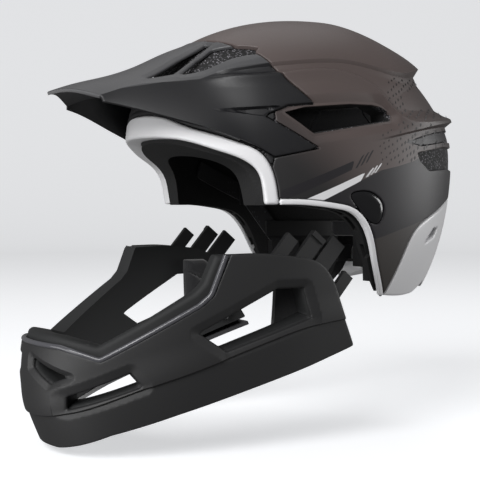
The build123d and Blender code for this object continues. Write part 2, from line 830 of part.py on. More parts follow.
# Fit dial at the nape: a housing on a tongue, a knob with its pinion, and two racks that end in arms
axle_height = -85
housing_half = 33
housing_below = 12
housing_above = 14
housing_front = 83
housing_depth = 10
channel_wall = 2
channel_depth = 4
channel_half = 9
tongue_half = 12
tongue_drop = 2.5
tongue_step = 2
tongue_depth = 11
housing_low = axle_height - housing_below
housing_top = axle_height + housing_above
housing_back = housing_front + housing_depth
channel_front = housing_front + channel_wall
channel_back = channel_front + channel_depth
tongue_inner = housing_back + tongue_step
tongue_outer = tongue_inner + tongue_depth
tooth_module = 1
pinion_teeth = 10
pitch_radius = tooth_module * pinion_teeth / 2
tooth_rise = 0.8 * tooth_module
tooth_root = 1.1 * tooth_module
tip_half = 0.22 * tooth_module
base_half = 0.72 * tooth_module
shaft_radius = 3
shaft_gap = 0.1
knob_radius = 11
knob_depth = 6.5
knob_gap = 1
knob_grips = 12
grip_radius = 1.6
play = 0.2
tooth_pitch = pi * tooth_module

with BuildPart() as dial_housing:
    add(slab((-housing_half, housing_front, housing_low), (housing_half, housing_back, housing_top)))
    add(slab((-tongue_half, housing_front, housing_top - tongue_drop), (tongue_half, tongue_outer, housing_top)))
    add(slab((-tongue_half, tongue_inner, housing_top - tongue_drop), (tongue_half, tongue_outer, recess_top)))
    add(
        slab(
            (-helmet_width, channel_front, axle_height - channel_half),
            (helmet_width, channel_back, axle_height + channel_half),
        ),
        mode=Mode.SUBTRACT,
    )
    with BuildSketch(Plane.XZ.offset(-housing_back)):
        with Locations((0, axle_height)):
            Circle(shaft_radius + shaft_gap)
    extrude(amount=housing_back - channel_back, mode=Mode.SUBTRACT)


def turned(point, step):
    """A point of the pinion's outline, turned to one of its teeth."""
    angle = 2 * pi * step / pinion_teeth
    x, z = point
    return x * cos(angle) - z * sin(angle), axle_height + x * sin(angle) + z * cos(angle)


tooth_outline = [
    (pitch_radius - tooth_root, -base_half),
    (pitch_radius + tooth_rise, -tip_half),
    (pitch_radius + tooth_rise, tip_half),
    (pitch_radius - tooth_root, base_half),
]
with BuildPart() as dial_pinion:
    with BuildSketch(Plane.XZ.offset(-channel_back + play)):
        with BuildLine():
            Polyline(*[turned(point, step) for step in range(pinion_teeth) for point in tooth_outline], close=True)
        make_face()
    extrude(amount=channel_back - channel_front - 2 * play)

with BuildPart() as fit_dial:
    with BuildSketch(Plane.XZ.offset(-housing_back - knob_gap - knob_depth)):
        with Locations((0, axle_height)):
            Circle(knob_radius)
            with PolarLocations(knob_radius + grip_radius / 2, knob_grips):
                Circle(grip_radius, mode=Mode.SUBTRACT)
    extrude(amount=knob_depth)
    with BuildSketch(Plane.XZ.offset(-housing_back - knob_gap)):
        with Locations((0, axle_height)):
            Circle(shaft_radius)
    extrude(amount=housing_back + knob_gap - channel_back + play)

# Racks: the same toothed bar above and below the pinion, each ending in an arm that lies along the cavity wall
rack_start = -12
rack_teeth = 14
rack_lead = 3
rack_back = 2.25
rack_reach = 43.9
link_width = 4
link_front = 75
arm_half = 6
arm_end = 64
arm_gap = 3
arm_wall = 2.5
tooth_base = axle_height + pitch_radius + tooth_root
tooth_tip = axle_height + pitch_radius - tooth_rise
rack_top = tooth_base + rack_back
link_end = rack_reach + link_width
band_outer = cavity(arm_gap)
band_inner = cavity(arm_gap + arm_wall)
with BuildPart() as rack_bar:
    with BuildSketch(Plane.XZ.offset(-channel_back + play)):
        with BuildLine():
            Polyline(
                (rack_start, tooth_base), (link_end, tooth_base), (link_end, rack_top), (rack_start, rack_top),
                close=True,
            )
        make_face()
        for tooth in range(rack_teeth):
            middle = (tooth - rack_lead) * tooth_pitch
            with BuildLine():
                Polyline(
                    (middle - base_half, tooth_base),
                    (middle - tip_half, tooth_tip),
                    (middle + tip_half, tooth_tip),
                    (middle + base_half, tooth_base),
                    close=True,
                )
            make_face()
    extrude(amount=channel_back - channel_front - 2 * play)
    add(slab((rack_reach, link_front, axle_height - arm_half), (link_end, channel_back - play, rack_top)))

arm_left = lining(
    band_outer,
    band_inner,
    slab((rack_reach, 0, axle_height - arm_half), (arm_end, far_side, axle_height + arm_half)),
)
with BuildPart() as rack_left:
    add(rack_bar.part)
    add(arm_left)

with BuildPart() as rack_right:
    add(rack_bar.part.rotate(Axis((0, 0, axle_height), (0, 1, 0)), 180))
    add(mirrored(arm_left))

# Cradle on the housing, its pad, and the straps laid along the cavity wall
cradle_front = 20
cradle_height = 13
cradle_top = housing_top + cradle_height
nape_pad_half = 50
nape_pad_depth = 4
strap_gap = 0.4
strap_depth = 1.4
strap_width = 14
slider_half = (9, 8)
slider_depth = 2.5
buckle_low = (23, -101)
buckle_high = (47, -75)
buckle_depth = 7
fit_cradle = lining(
    band_outer,
    band_inner,
    slab((-far_side, cradle_front, housing_top), (far_side, far_side, cradle_top)),
)
nape_pad = lining(
    cavity(arm_gap + arm_wall + fit_gap),
    cavity(arm_gap + arm_wall + fit_gap + nape_pad_depth),
    slab((-nape_pad_half, cradle_front, housing_top), (nape_pad_half, far_side, cradle_top)),
)


def ribbon(start, end):
    """A strap's straight run in the side view, carried over the left half."""
    corners = beside([start, end], strap_width / 2) + beside([end, start], strap_width / 2)
    return spread(side_polygon(corners), 0, far_side)


slider_share = (-0.032, -0.36)
tail_share = (0.2, -0.78)
slider_y, slider_z = at([slider_share])[0]
tail_end = at([tail_share])[0]
with BuildPart() as strap_runs:
    add(ribbon(anchor_spots[0], (slider_y, slider_z)))
    add(ribbon(anchor_spots[1], (slider_y, slider_z)))
    add(ribbon((slider_y, slider_z), tail_end))
strap_left = lining(cavity(strap_gap), cavity(strap_gap + strap_depth), strap_runs.part)
over_strap = cavity(strap_gap + strap_depth + fit_gap)
strap_slider_left = lining(
    over_strap,
    cavity(strap_gap + strap_depth + fit_gap + slider_depth),
    slab((0, slider_y - slider_half[0], slider_z - slider_half[1]),
         (far_side, slider_y + slider_half[0], slider_z + slider_half[1])),
)
buckle_left = lining(
    over_strap,
    cavity(strap_gap + strap_depth + fit_gap + buckle_depth),
    slab((0, *buckle_low), (far_side, *buckle_high)),
)

finish(dial_housing.part, "dial_housing")
finish(dial_pinion.part, "dial_pinion")
finish(fit_dial.part, "fit_dial")
finish(rack_left.part, "rack_left")
finish(rack_right.part, "rack_right")
finish(fit_cradle, "fit_cradle")
finish(nape_pad, "nape_pad")
finish(strap_left, "strap_left")
finish(mirrored(strap_left), "strap_right")
finish(both_sides(strap_slider_left), "strap_sliders")
finish(buckle_left, "buckle_socket")
finish(mirrored(buckle_left), "buckle_prong")
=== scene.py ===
"""Look of a downhill helmet and its removable chin guard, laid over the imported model."""
from math import pi, radians

import bpy
import numpy as np
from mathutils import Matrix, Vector


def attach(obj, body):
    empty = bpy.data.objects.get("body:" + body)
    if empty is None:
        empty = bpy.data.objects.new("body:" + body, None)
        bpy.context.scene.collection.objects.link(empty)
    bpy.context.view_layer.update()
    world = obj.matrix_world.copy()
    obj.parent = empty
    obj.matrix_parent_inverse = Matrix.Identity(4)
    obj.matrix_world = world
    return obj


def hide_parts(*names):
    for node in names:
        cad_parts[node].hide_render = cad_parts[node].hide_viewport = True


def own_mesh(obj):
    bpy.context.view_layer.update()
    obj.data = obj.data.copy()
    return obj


bl_info = {
    "name": "Downhill helmet",
    "version": (1, 0, 0),
    "blender": (4, 5, 0),
    "location": "View3D > Sidebar > Helmet",
    "description": "Builds a downhill helmet's painted shell, visor, trims, chin guard, pads and straps",
    "category": "Object",
}

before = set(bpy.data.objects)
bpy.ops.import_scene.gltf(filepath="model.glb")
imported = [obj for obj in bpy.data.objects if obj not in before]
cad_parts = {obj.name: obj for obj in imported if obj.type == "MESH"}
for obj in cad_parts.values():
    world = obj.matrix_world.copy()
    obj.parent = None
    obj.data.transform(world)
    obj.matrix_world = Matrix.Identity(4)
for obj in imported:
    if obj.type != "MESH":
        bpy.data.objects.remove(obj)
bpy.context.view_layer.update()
MM = 0.001
SIDES = ((1, "left"), (-1, "right"))
# Stands for "not here" in a field of distances
OUTSIDE = 99
# A crease's steep side and half a ridge's flat top, in millimetres across
CREASE_STEP, RIDGE_FLAT = 1.6, 0.4

# Outlines in the side view, as (y, z): shares of the half length from the form's centre, and of the
# crown height
helmet_edge_shares = [
    (-0.569, -0.44), (-0.502, -0.44), (-0.413, -0.44), (-0.208, -0.47), (-0.12, -0.5),
    (-0.042, -0.59), (0.007, -0.71), (0.049, -0.86), (0.11, -1.03), (0.145, -1.12),
]
brow_edge_shares = [
    (-1.261, 0.05), (-0.986, 0.045), (-0.894, 0.01), (-0.788, -0.055), (-0.675, -0.125),
    (-0.611, -0.205), (-0.583, -0.32), (-0.569, -0.44),
]
brow_seam_shares = [
    (-1.261, 0.22), (-0.972, 0.215), (-0.894, 0.13), (-0.788, 0.06), (-0.689, 0.0), (-0.597, -0.07),
    (-0.544, -0.175), (-0.516, -0.3), (-0.502, -0.42), (-0.495, -0.6),
]
nape_bottom_shares = [(0.145, -1.12), (0.293, -1.14), (0.576, -1.09), (0.788, -0.98), (1.141, -0.78)]
nape_front_shares = [
    (0.14, -1.25), (0.18, -1.1), (0.22, -0.945), (0.26, -0.78), (0.322, -0.62), (0.41, -0.542),
    (0.523, -0.476), (0.617, -0.422), (1.141, -0.38),
]
notch_shares = [(0.435, -0.722), (0.5, -0.625), (0.545, -0.62), (0.518, -0.68)]
visor_back_shares = [
    (-0.696, 0.807), (-0.541, 0.64), (-0.449, 0.45), (-0.329, 0.28), (-0.463, 0.26), (-0.576, 0.185),
    (-0.314, -0.04), (-0.534, -0.105),
]
peak_split_share = -0.696
visor_low_shares = [(-0.604, -0.04), (-0.682, 0.01), (peak_split_share, 0.02)]
side_vent_shares = [
    (-0.477, 0.215), (-0.375, 0.255), (-0.124, 0.287), (0.01, 0.287), (0.06, 0.274), (0.098, 0.245),
    (0.116, 0.21), (0.11, 0.175), (-0.136, 0.115), (-0.336, 0.065),
]
rear_vent_shares = [
    (0.3, -0.055), (0.548, 0.0), (0.788, 0.01), (0.788, -0.17), (0.6, -0.16), (0.4, -0.178),
    (0.32, -0.11),
]
button_centre_share = (-0.035, -0.44)
button_shares = [
    (-0.131, -0.37), (-0.06, -0.34), (0.018, -0.37), (0.071, -0.46), (0.046, -0.57), (-0.032, -0.53),
    (-0.095, -0.44),
]
band_zone_shares = [(-1.261, -0.24), (-0.551, -0.24), (-0.526, -0.05), (-0.526, 0.48), (-1.261, 0.48)]
chin_top_shares = [(-1.686, -1.4), (-1.516, -1.42), (-1.36, -1.5), (-0.908, -1.13), (-0.852, -1.06)]
chin_bottom_shares = [
    (-0.053, -1.47), (-0.322, -1.59), (-0.519, -1.67), (-1.0, -1.87), (-1.297, -2.01),
    (-1.481, -2.14), (-1.686, -2.14),
]
chin_window_shares = [(-0.922, -1.315), (-0.527, -1.02), (-0.385, -1.02), (-0.332, -1.24), (-0.784, -1.45)]
chin_slit_shares = [(-1.495, -1.75), (-1.488, -1.845), (-1.177, -1.67), (-1.233, -1.575)]
# The chin guard's foam stands a little above its shell, and each cheek pad lies behind an arm
foam_top_shares = [
    (-1.686, -1.31), (-1.53, -1.32), (-1.36, -1.39), (-0.936, -1.03), (-0.894, -0.97),
    (-0.837, -0.775),
]
cheek_pad_shares = [
    (-0.47, -0.9), (-0.343, -0.9), (-0.272, -0.97), (-0.216, -1.1), (-0.159, -1.3), (-0.201, -1.42),
    (-0.47, -1.35),
]
# Pads in the cavity, as two corners each
brow_pad_corners = [(-1.261, 0.1), (-0.35, 0.34)]
rear_pad_corners = [(0.152, -0.04), (0.54, 0.38)]
# Ends of the strap's runs: the front and rear anchors, the slider and the tail
strap_shares = [(-0.4, -0.14), (0.378, -0.14), (-0.032, -0.36), (0.2, -0.78)]
# Creases of the shell: the crown's edge, the temple's edge, and the low one at the back
crown_crease_shares = [
    (-0.82, 0.45), (-0.7, 0.51), (-0.491, 0.56), (-0.3, 0.59), (-0.102, 0.6), (0.12, 0.55),
    (0.279, 0.53), (0.413, 0.56), (0.72, 0.56),
]
temple_crease_shares = [
    (-0.82, 0.45), (-0.608, 0.46), (-0.456, 0.48), (-0.286, 0.51), (-0.131, 0.5), (-0.05, 0.465),
    (0.016, 0.418), (0.073, 0.346), (0.138, 0.25), (0.2, 0.19), (0.284, 0.172), (0.45, 0.185),
    (0.62, 0.205), (1.06, 0.22),
]
rear_crease_shares = [
    (-0.068, 0.01), (0.054, 0.046), (0.25, 0.106), (0.438, 0.154), (0.621, 0.184), (1.06, 0.2),
]
# The recess below the low crease, whose plum black is painted shade in that recess
rear_slot_shares = [
    (0.2, 0.02), (0.3, 0.062), (0.44, 0.105), (0.6, 0.14), (1.06, 0.16), (1.06, 0.06), (0.584, 0.045),
    (0.33, -0.005),
]
# Where the visor's painted lit top meets its painted shaded sides: one lacquer, drawn lighter above as
# painted top light and darker below as painted shade
visor_shade_line_shares = [
    (-1.7, 0.275), (-1.516, 0.285), (-1.332, 0.305), (-1.191, 0.375), (-0.986, 0.425), (-0.82, 0.45),
    (-0.7, 0.51), (-0.491, 0.56), (-0.3, 0.59),
]
# A dark groove that widens from the visor's side towards the side vent
groove_shares = [
    (-0.84, 0.222), (-0.7, 0.24), (-0.584, 0.25), (-0.48, 0.26), (-0.55, 0.21), (-0.586, 0.178),
    (-0.7, 0.2),
]
# Painted shapes: the dark zone behind the stripe, the low grey panel, the stripes and their hash marks
dark_zone_shares = [
    (-0.42, -0.5), (-0.326, -0.434), (-0.08, -0.266), (0.043, -0.188), (0.166, -0.152),
    (0.278, -0.11), (0.33, -0.068), (0.4, -0.03), (1.06, -0.03), (1.06, -0.55), (0.5, -0.5),
    (0.325, -0.572), (0.199, -0.62), (0.086, -0.668), (0.024, -0.69), (-0.1, -0.72), (-0.3, -0.62),
]
low_panel_shares = [
    (-0.1, -0.72), (0.024, -0.69), (0.086, -0.668), (0.199, -0.62), (0.325, -0.572), (0.5, -0.5),
    (0.5, -1.3), (0.0, -1.3),
]
white_stripe_shares = [(-0.404, -0.416), (-0.326, -0.434), (-0.08, -0.266), (-0.056, -0.206)]
dark_stripe_shares = [(-0.497, -0.4), (-0.499, -0.338), (-0.122, -0.122), (-0.134, -0.188), (-0.43, -0.374)]
white_hash_shares = [(-0.066, -0.256), (-0.02, -0.178)]
dark_hash_shares = [(-0.118, -0.182), (-0.077, -0.086)]
hash_width_share = (0.015, 0.01)
hash_step_share = (0.029, 0.019)

# Outlines seen from above, as (x, y) shares of the half width and of the half length
spine_vent_shares = [
    (0.324, -1.035), (0.278, -0.859), (0.255, -0.689), (0.31, -0.675), (0.335, -0.777),
    (0.385, -0.915),
]
brow_vent_shares = [
    (0.425, -0.88), (0.385, -0.784), (0.378, -0.696), (0.481, -0.611), (0.61, -0.516),
    (0.633, -0.551), (0.552, -0.675),
]
visor_front_shares = [(0, -1.481), (0.362, -1.29), (1.143, -1.12)]
crown_pad_shares = [(-0.086, -0.484), (0.086, -0.484), (0.086, 0.37), (-0.086, 0.37)]
crown_side_pad_shares = [(0.305, -0.343), (0.457, -0.343), (0.457, 0.293), (0.305, 0.293)]
crown_slot_shares = [(0.2, 0.2), (0.235, 0.56), (0.3, 0.62), (0.27, 0.24)]
# Vents beside the nose, as (x, z) shares of the half width and of the crown height
nose_vent_shares = [(0.114, -1.5), (0.429, -1.61), (0.295, -1.675), (0.114, -1.57)]

# Visor sections: y share, then (x, z) shares of the low edge, side, crease and upper face, and the height
# of the ridge
peak_shares = [
    (-0.3, (0.93, -0.2), (0.93, 0.2), (0.84, 0.48), (0.57, 0.78), 0.93),
    (-0.526, (0.867, -0.14), (0.848, 0.22), (0.762, 0.46), (0.5, 0.737), 0.865),
    (-0.682, (0.81, 0.0), (0.762, 0.22), (0.67, 0.45), (0.4, 0.66), 0.774),
    (-0.795, (0.762, 0.07), (0.686, 0.25), (0.571, 0.44), (0.333, 0.62), 0.72),
    (-0.986, (0.619, 0.16), (0.548, 0.29), (0.457, 0.425), (0.248, 0.535), 0.595),
    (-1.191, (0.438, 0.25), (0.41, 0.31), (0.371, 0.375), (0.19, 0.455), 0.49),
    (-1.332, (0.352, 0.288), (0.35, 0.295), (0.343, 0.305), (0.171, 0.4), 0.437),
    (-1.516, (0.333, 0.275), (0.331, 0.28), (0.324, 0.285), (0.171, 0.325), 0.345),
]
# Chin guard rings: height share, then (x, y) shares from the rear of the arm to the nose
chin_slices = [
    (-0.68, (0.924, 0.025), (0.952, -0.343), (0.905, -0.625), (0.8, -0.908), (0.629, -1.191),
     (0.362, -1.438), (0, -1.523)),
    (-1.15, (0.905, 0.025), (0.933, -0.343), (0.9, -0.625), (0.819, -0.908), (0.667, -1.191),
     (0.4, -1.459), (0, -1.558)),
    (-1.65, (0.8, 0.025), (0.857, -0.343), (0.848, -0.625), (0.8, -0.908), (0.686, -1.191),
     (0.429, -1.488), (0, -1.608)),
    (-2.18, (0.705, 0.025), (0.762, -0.343), (0.762, -0.625), (0.724, -0.908), (0.619, -1.155),
     (0.4, -1.389), (0, -1.495)),
]
chin_ridge_shares = [
    (-1.56, -1.9), (-1.46, -1.85), (-1.31, -1.76), (-1.155, -1.67), (-0.965, -1.58), (-0.767, -1.48),
    (-0.562, -1.38), (-0.343, -1.29), (-0.13, -1.25), (0.05, -1.22),
]


def linear(code):
    """Turn an sRGB hex colour into linear values."""
    parts = [int(code[i:i + 2], 16) / 255 for i in (1, 3, 5)]
    return tuple(c / 12.92 if c <= 0.04045 else ((c + 0.055) / 1.055) ** 2.4 for c in parts)


def length(name, text, size):
    """A length property in metres."""
    return bpy.props.FloatProperty(name=name, description=text, default=size, unit="LENGTH", min=0,
                                   precision=4)


def factor(name, text, value):
    """A property without a unit."""
    return bpy.props.FloatProperty(name=name, description=text, default=value, subtype="FACTOR")


def degrees(name, text, angle):
    """An angle property, given in degrees."""
    return bpy.props.FloatProperty(name=name, description=text, default=radians(angle), subtype="ANGLE",
                                   unit="ROTATION")


def colour(name, text, code):
    """A colour property from an sRGB hex value."""
    return bpy.props.FloatVectorProperty(name=name, description=text, default=linear(code),
                                         subtype="COLOR", min=0, max=1)


class HelmetForm(bpy.types.PropertyGroup):
    """Sizes of the helmet."""
    width: length("Width", "Widest part of the shell", 0.21)
    length: length("Length", "Shell from brow to back, without the visor", 0.283)
    crown: length("Crown height", "Crown above the widest level", 0.1)
    drop: length("Drop", "Depth that the round form would reach below", 0.17)
    centre: length("Form centre", "How far the form's middle lies behind the origin", 0.0085)
    rear_cut: length("Rear cut", "How much shorter the form's back half is", 0.018)
    rear_lean: factor("Rear lean", "How fast the back draws in upwards", 0.45)
    lean_start: factor("Lean start", "Share of the crown height where that sets in", 0.12)
    roundness: factor("Roundness", "2 is an ellipse, more is squarer", 2.2)
    shell_wall: length("Shell wall", "Thickness of the shell", 0.0024)
    visor_wall: length("Visor wall", "Thickness of the visor", 0.0026)
    trim_width: length("Trim width", "Height of the white strip on the lower edge", 0.0045)
    nape_depth: length("Nape depth", "Depth of the white nape piece", 0.008)
    face_trim_depth: length("Face trim depth", "Depth of the trim round the face opening", 0.012)
    seam: length("Seam", "Half the gap between two outer pieces", 0.00025)
    crease_rise: length("Crease rise", "Height of the shell's sharp creases", 0.0018)
    crease_spread: length("Crease spread", "Width of a crease's slope", 0.007)
    upper_fin: length("Upper fin", "How far the upper back fin stands off", 0.0095)
    lower_fin: length("Lower fin", "How far the lower back fin stands off", 0.0055)
    slot_drop: length("Slot drop", "Depth of the recess below the low crease", 0.003)
    bevel: length("Vent bevel", "Width of the bevel round the side vents", 0.008)
    vent_drop: length("Vent drop", "Depth of that bevel at the vent", 0.0035)


class CavityForm(bpy.types.PropertyGroup):
    """Sizes of the head cavity and what lines it."""
    side_wall: length("Side wall", "Foam at the temples", 0.025)
    end_wall: length("End wall", "Foam at the front and back", 0.034)
    crown_wall: length("Crown wall", "Foam above the head", 0.028)
    drop: length("Drop", "Depth that the cavity's form would reach below", 0.4)
    gap: length("Gap", "Clearance between a pad and what it lies on", 0.0003)
    pad: length("Pad", "Thickness of the comfort pads", 0.006)
    cheek: length("Cheek pad", "Thickness of the cheek pads", 0.011)


class ChinForm(bpy.types.PropertyGroup):
    """Sizes of the chin guard."""
    wall: length("Wall", "Thickness of its shell", 0.0032)
    foam: length("Foam", "Thickness of its foam", 0.016)
    travel: length("Docking travel", "How far it is drawn from the helmet", 0.043)
    angle: degrees("Docking angle", "Docking line above the horizontal", 50)
    edge_gap: length("Edge gap", "Gap left along the docked edge", 0.0006)
    bevel: length("Window bevel", "Width of the bevel round the windows", 0.0065)
    bevel_drop: length("Window drop", "Depth of that bevel", 0.0026)
    ridge: length("Ridge", "Step of the ridge along the jaw", 0.0018)
    piping: length("Piping", "Radius of the glossy piping", 0.0019)


class HelmetPaint(bpy.types.PropertyGroup):
    """Colours of the finishes."""
    taupe: colour("Taupe", "Shell at the crown and side", "#534947")
    charcoal: colour("Charcoal", "Shell low at the front", "#242324")
    # Plum black also darkens the recess below the low crease as painted shade
    plum_black: colour("Plum black", "Dark zone behind the stripe", "#1d1b1f")
    panel_grey: colour("Panel grey", "Low panel in front of the nape piece", "#393533")
    # Visor top and visor side are one lacquer: painted top light above the crease, painted shade below it
    visor_lit_top: colour("Visor top", "Visor above its crease", "#454547")
    visor_shaded_side: colour("Visor side", "Visor below its crease", "#141417")
    chin_black: colour("Chin black", "Chin guard shell", "#202021")
    white: colour("White", "Trims and stripe", "#e4e4e6")
    foam: colour("Foam", "Dark expanded foam", "#121213")
    bead: colour("Bead", "Light specks of the foam's beads", "#77757a")
    pad: colour("Pad cloth", "Comfort pads", "#17171a")
    web: colour("Webbing", "Chin strap", "#17171a")


class Studio(bpy.types.PropertyGroup):
    """The plain studio round the helmet."""
    floor: colour("Floor", "Floor and backdrop", "#d9dadc")
    distance: length("Camera distance", "From the point that the camera looks at", 0.85)
    azimuth: degrees("Azimuth", "Camera's direction round the helmet", 62)
    elevation: degrees("Elevation", "Camera's height angle", 2)
    lens: bpy.props.FloatProperty(name="Lens", description="Focal length in millimetres", default=79.65,
                                  unit="CAMERA")
    aim: bpy.props.FloatVectorProperty(name="Aim", description="Point that the camera looks at",
                                       default=(-0.01657, -0.03651, -0.07199), subtype="XYZ", unit="LENGTH",
                                       precision=5)


# Curves and distances in flat views


def spline(knots, values, at):
    """Natural cubic through values at knots, read at other places."""
    knots, values, at = (np.asarray(a, float) for a in (knots, values, at))
    gap = np.diff(knots)
    count = len(knots)
    system = np.eye(count)
    right = np.zeros_like(values)
    for i in range(1, count - 1):
        before, after = gap[i - 1:i + 1]
        system[i, i - 1:i + 2] = before, 2 * (before + after), after
        right[i] = 6 * ((values[i + 1] - values[i]) / after - (values[i] - values[i - 1]) / before)
    bend = np.linalg.solve(system, right)
    i = np.clip(np.searchsorted(knots, at, side="right") - 1, 0, count - 2)
    back, ahead, gap = at - knots[i], knots[i + 1] - at, gap[i]
    if values.ndim > 1:
        back, ahead, gap = back[:, None], ahead[:, None], gap[:, None]
    return (bend[i] * ahead ** 3 + bend[i + 1] * back ** 3) / (6 * gap) \
        + (values[i] / gap - bend[i] * gap / 6) * ahead \
        + (values[i + 1] / gap - bend[i + 1] * gap / 6) * back


def smooth_line(points, steps=10):
    """A smooth line through points, as closely spaced points."""
    points = np.asarray(points, float)
    knots = np.concatenate([[0], np.cumsum(np.linalg.norm(np.diff(points, axis=0), axis=1))])
    return spline(knots, points, np.linspace(0, knots[-1], (len(points) - 1) * steps + 1))


def smooth_ring(points, steps=10):
    """A smooth closed line through points."""
    points = list(points)
    line = smooth_line(points[-3:] + points + points[:4], steps)
    return line[3 * steps:(3 + len(points)) * steps]


def beside(line, distance):
    """Move an open line sideways, to the left of its direction."""
    line = np.asarray(line, float)
    along = np.gradient(line, axis=0)
    along /= np.linalg.norm(along, axis=1)[:, None]
    return line + distance * np.stack([-along[:, 1], along[:, 0]], 1)


def runs(points, starts, ends):
    """Each straight run's start, its vector, the points' offsets from it and their squared distances."""
    for start, end in zip(starts, ends):
        run, off = end - start, points - start
        share = np.clip(off @ run / (run @ run + 1e-12), 0, 1)
        yield start, run, off, ((off - share[:, None] * run) ** 2).sum(1)


def outline_distance(points, ring):
    """Distance to a closed outline, negative inside it."""
    ring = np.asarray(ring, float)
    ends = np.roll(ring, -1, 0)
    nearest = np.full(len(points), np.inf)
    inside = np.zeros(len(points), bool)
    for (start, run, off, gap), end in zip(runs(points, ring, ends), ends):
        nearest = np.minimum(nearest, gap)
        level = (start[1] > points[:, 1]) != (end[1] > points[:, 1])
        inside ^= level & (off[:, 0] < run[0] * off[:, 1] / (run[1] + 1e-12))
    return np.where(inside, -1, 1) * np.sqrt(nearest)


def rings_distance(points, rings):
    """Distance to the nearest of several closed outlines."""
    return np.minimum.reduce([outline_distance(points, ring) for ring in rings])


def line_distance(points, line):
    """Distance to an open line, positive on the left of its direction."""
    nearest = np.full(len(points), np.inf)
    side = np.ones(len(points))
    for _, run, off, gap in runs(points, line[:-1], line[1:]):
        closer = gap < nearest
        nearest = np.where(closer, gap, nearest)
        side = np.where(closer, np.sign(run[0] * off[:, 1] - run[1] * off[:, 0]), side)
    return side * np.sqrt(nearest)


def ease(values, low, high):
    """Rise smoothly from 0 at low to 1 at high."""
    t = np.clip((values - low) / (high - low), 0, 1)
    return t * t * (3 - 2 * t)


# Sheets: triangles with points, normals and fields, all lengths in millimetres


def split(sheet, key, level):
    """Cut every triangle that a field crosses at a level, and keep both sides."""
    margin = 0.02  # share of an edge that a cut stays away from its ends
    field = sheet[key] - level
    faces = sheet["faces"]
    above = field > 0
    mixed = above[faces].any(1) & ~above[faces].all(1)
    cut = faces[mixed]
    flags = above[cut]
    odd = np.where(flags.sum(1) == 1, flags.argmax(1), (~flags).argmax(1))
    cut = np.take_along_axis(cut, (odd[:, None] + np.arange(3)) % 3, 1)
    a, b, c = cut.T
    pairs = np.sort(np.concatenate([np.stack([a, b], 1), np.stack([a, c], 1)]), 1)
    pairs, index = np.unique(pairs, axis=0, return_inverse=True)
    i, j = pairs.T
    share = np.clip(field[i] / (field[i] - field[j]), margin, 1 - margin)
    out = {}
    for name, values in sheet.items():
        if name != "faces":
            part = share[:, None] if values.ndim > 1 else share
            out[name] = np.concatenate([values, values[i] + (values[j] - values[i]) * part])
    out[key][len(field):] = level
    new = index.reshape(-1) + len(field)
    ab, ac = new[:len(cut)], new[len(cut):]
    out["faces"] = np.concatenate([
        faces[~mixed], np.stack([a, ab, ac], 1), np.stack([ab, b, c], 1), np.stack([ab, c, ac], 1)])
    return out


def cut_rows(sheet, rows):
    """Cut rows of points along levels of several fields."""
    for key, levels in rows.items():
        for level in levels:
            sheet = split(sheet, key, level)
    return sheet


def keep(sheet, chosen):
    """Keep the chosen triangles and the points that they use."""
    faces = sheet["faces"][chosen]
    used, index = np.unique(faces, return_inverse=True)
    out = {name: values[used] for name, values in sheet.items() if name != "faces"}
    out["faces"] = index.reshape(-1, 3)
    return out


def trim(sheet, field, rings):
    """Trim a sheet to where a field is negative, with rows of points at each of the distances inside."""
    spare, hair = 3, 1e-6  # what is kept outside the edge before the cut, and rounding after it
    sheet = dict(sheet, field=field)
    sheet = keep(sheet, (field[sheet["faces"]] < spare).any(1))
    sheet = cut_rows(sheet, {"field": [-ring for ring in (*rings, 0.0)]})
    return keep(sheet, (sheet["field"][sheet["faces"]] <= hair).all(1))


def one_side(sheet, side, field):
    """Keep a field on the left or right half only."""
    return np.where(sheet["co"][:, 0] * side > 0, field, OUTSIDE)


def window(sheet, low, high):
    """Keep the triangles that reach into a box."""
    corner = sheet["co"][sheet["faces"]]
    return keep(sheet, ((corner > low) & (corner < high)).all(2).any(1))


def wall(sheet, depth, edge, rise=0.0):
    """Give a trimmed sheet its relief, its rounded edge and its thickness."""
    inside = np.minimum(-sheet["field"], edge)
    drop = edge - np.sqrt(np.maximum(edge ** 2 - (edge - inside) ** 2, 0))
    top = sheet["co"] + sheet["no"] * (rise - drop)[:, None]
    low = sheet["co"] - sheet["no"] * (depth + np.zeros(len(top)))[:, None]
    faces, count = sheet["faces"], len(top)
    ways = np.concatenate([faces[:, [0, 1]], faces[:, [1, 2]], faces[:, [2, 0]]])
    open_ways = ways[~np.isin(ways[:, 0] * count + ways[:, 1], ways[:, 1] * count + ways[:, 0])]
    a, b = open_ways.T
    rim = np.concatenate([np.stack([b, a, a + count], 1), np.stack([b, a + count, b + count], 1)])
    return np.concatenate([top, low]), np.concatenate([faces, faces[:, ::-1] + count, rim])


def rings_for(edge):
    """Distances from the edge at which a rounded edge needs rows of points."""
    return (edge, 0.5 * edge, 0.15 * edge)


def new_piece(name, mesh, material):
    """Put a mesh with its material into the scene."""
    mesh.materials.append(material)
    piece = bpy.data.objects.new(name, mesh)
    bpy.context.scene.collection.objects.link(piece)
    return piece


def mesh_piece(name, points, faces, material, sharp=35, **fields):
    """Make an object of points in millimetres, with named number fields on its points."""
    mesh = bpy.data.meshes.new(name)
    mesh.from_pydata((np.asarray(points) * MM).tolist(), [], np.asarray(faces).tolist())
    for key, values in fields.items():
        values = np.asarray(values, np.float32)
        mesh.attributes.new(key, "FLOAT", "POINT").data.foreach_set("value", values)
    mesh.validate()
    mesh.shade_smooth()
    mesh.set_sharp_from_angle(angle=radians(sharp))
    return new_piece(name, mesh, material)


def settle(piece, body, finish, *nodes):
    """Let a piece ride on its body and stand for CAD nodes. The finish is not used."""
    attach(piece, body)
    if nodes:
        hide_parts(*nodes)


# The helmet's round form


def at(shares):
    """Turn side-view shares into (y, z) in millimetres."""
    form = bpy.context.scene.helmet_form
    scale = np.array([form.length / 2, form.crown]) / MM
    return np.asarray(shares, float) * scale + [form.centre / MM, 0]


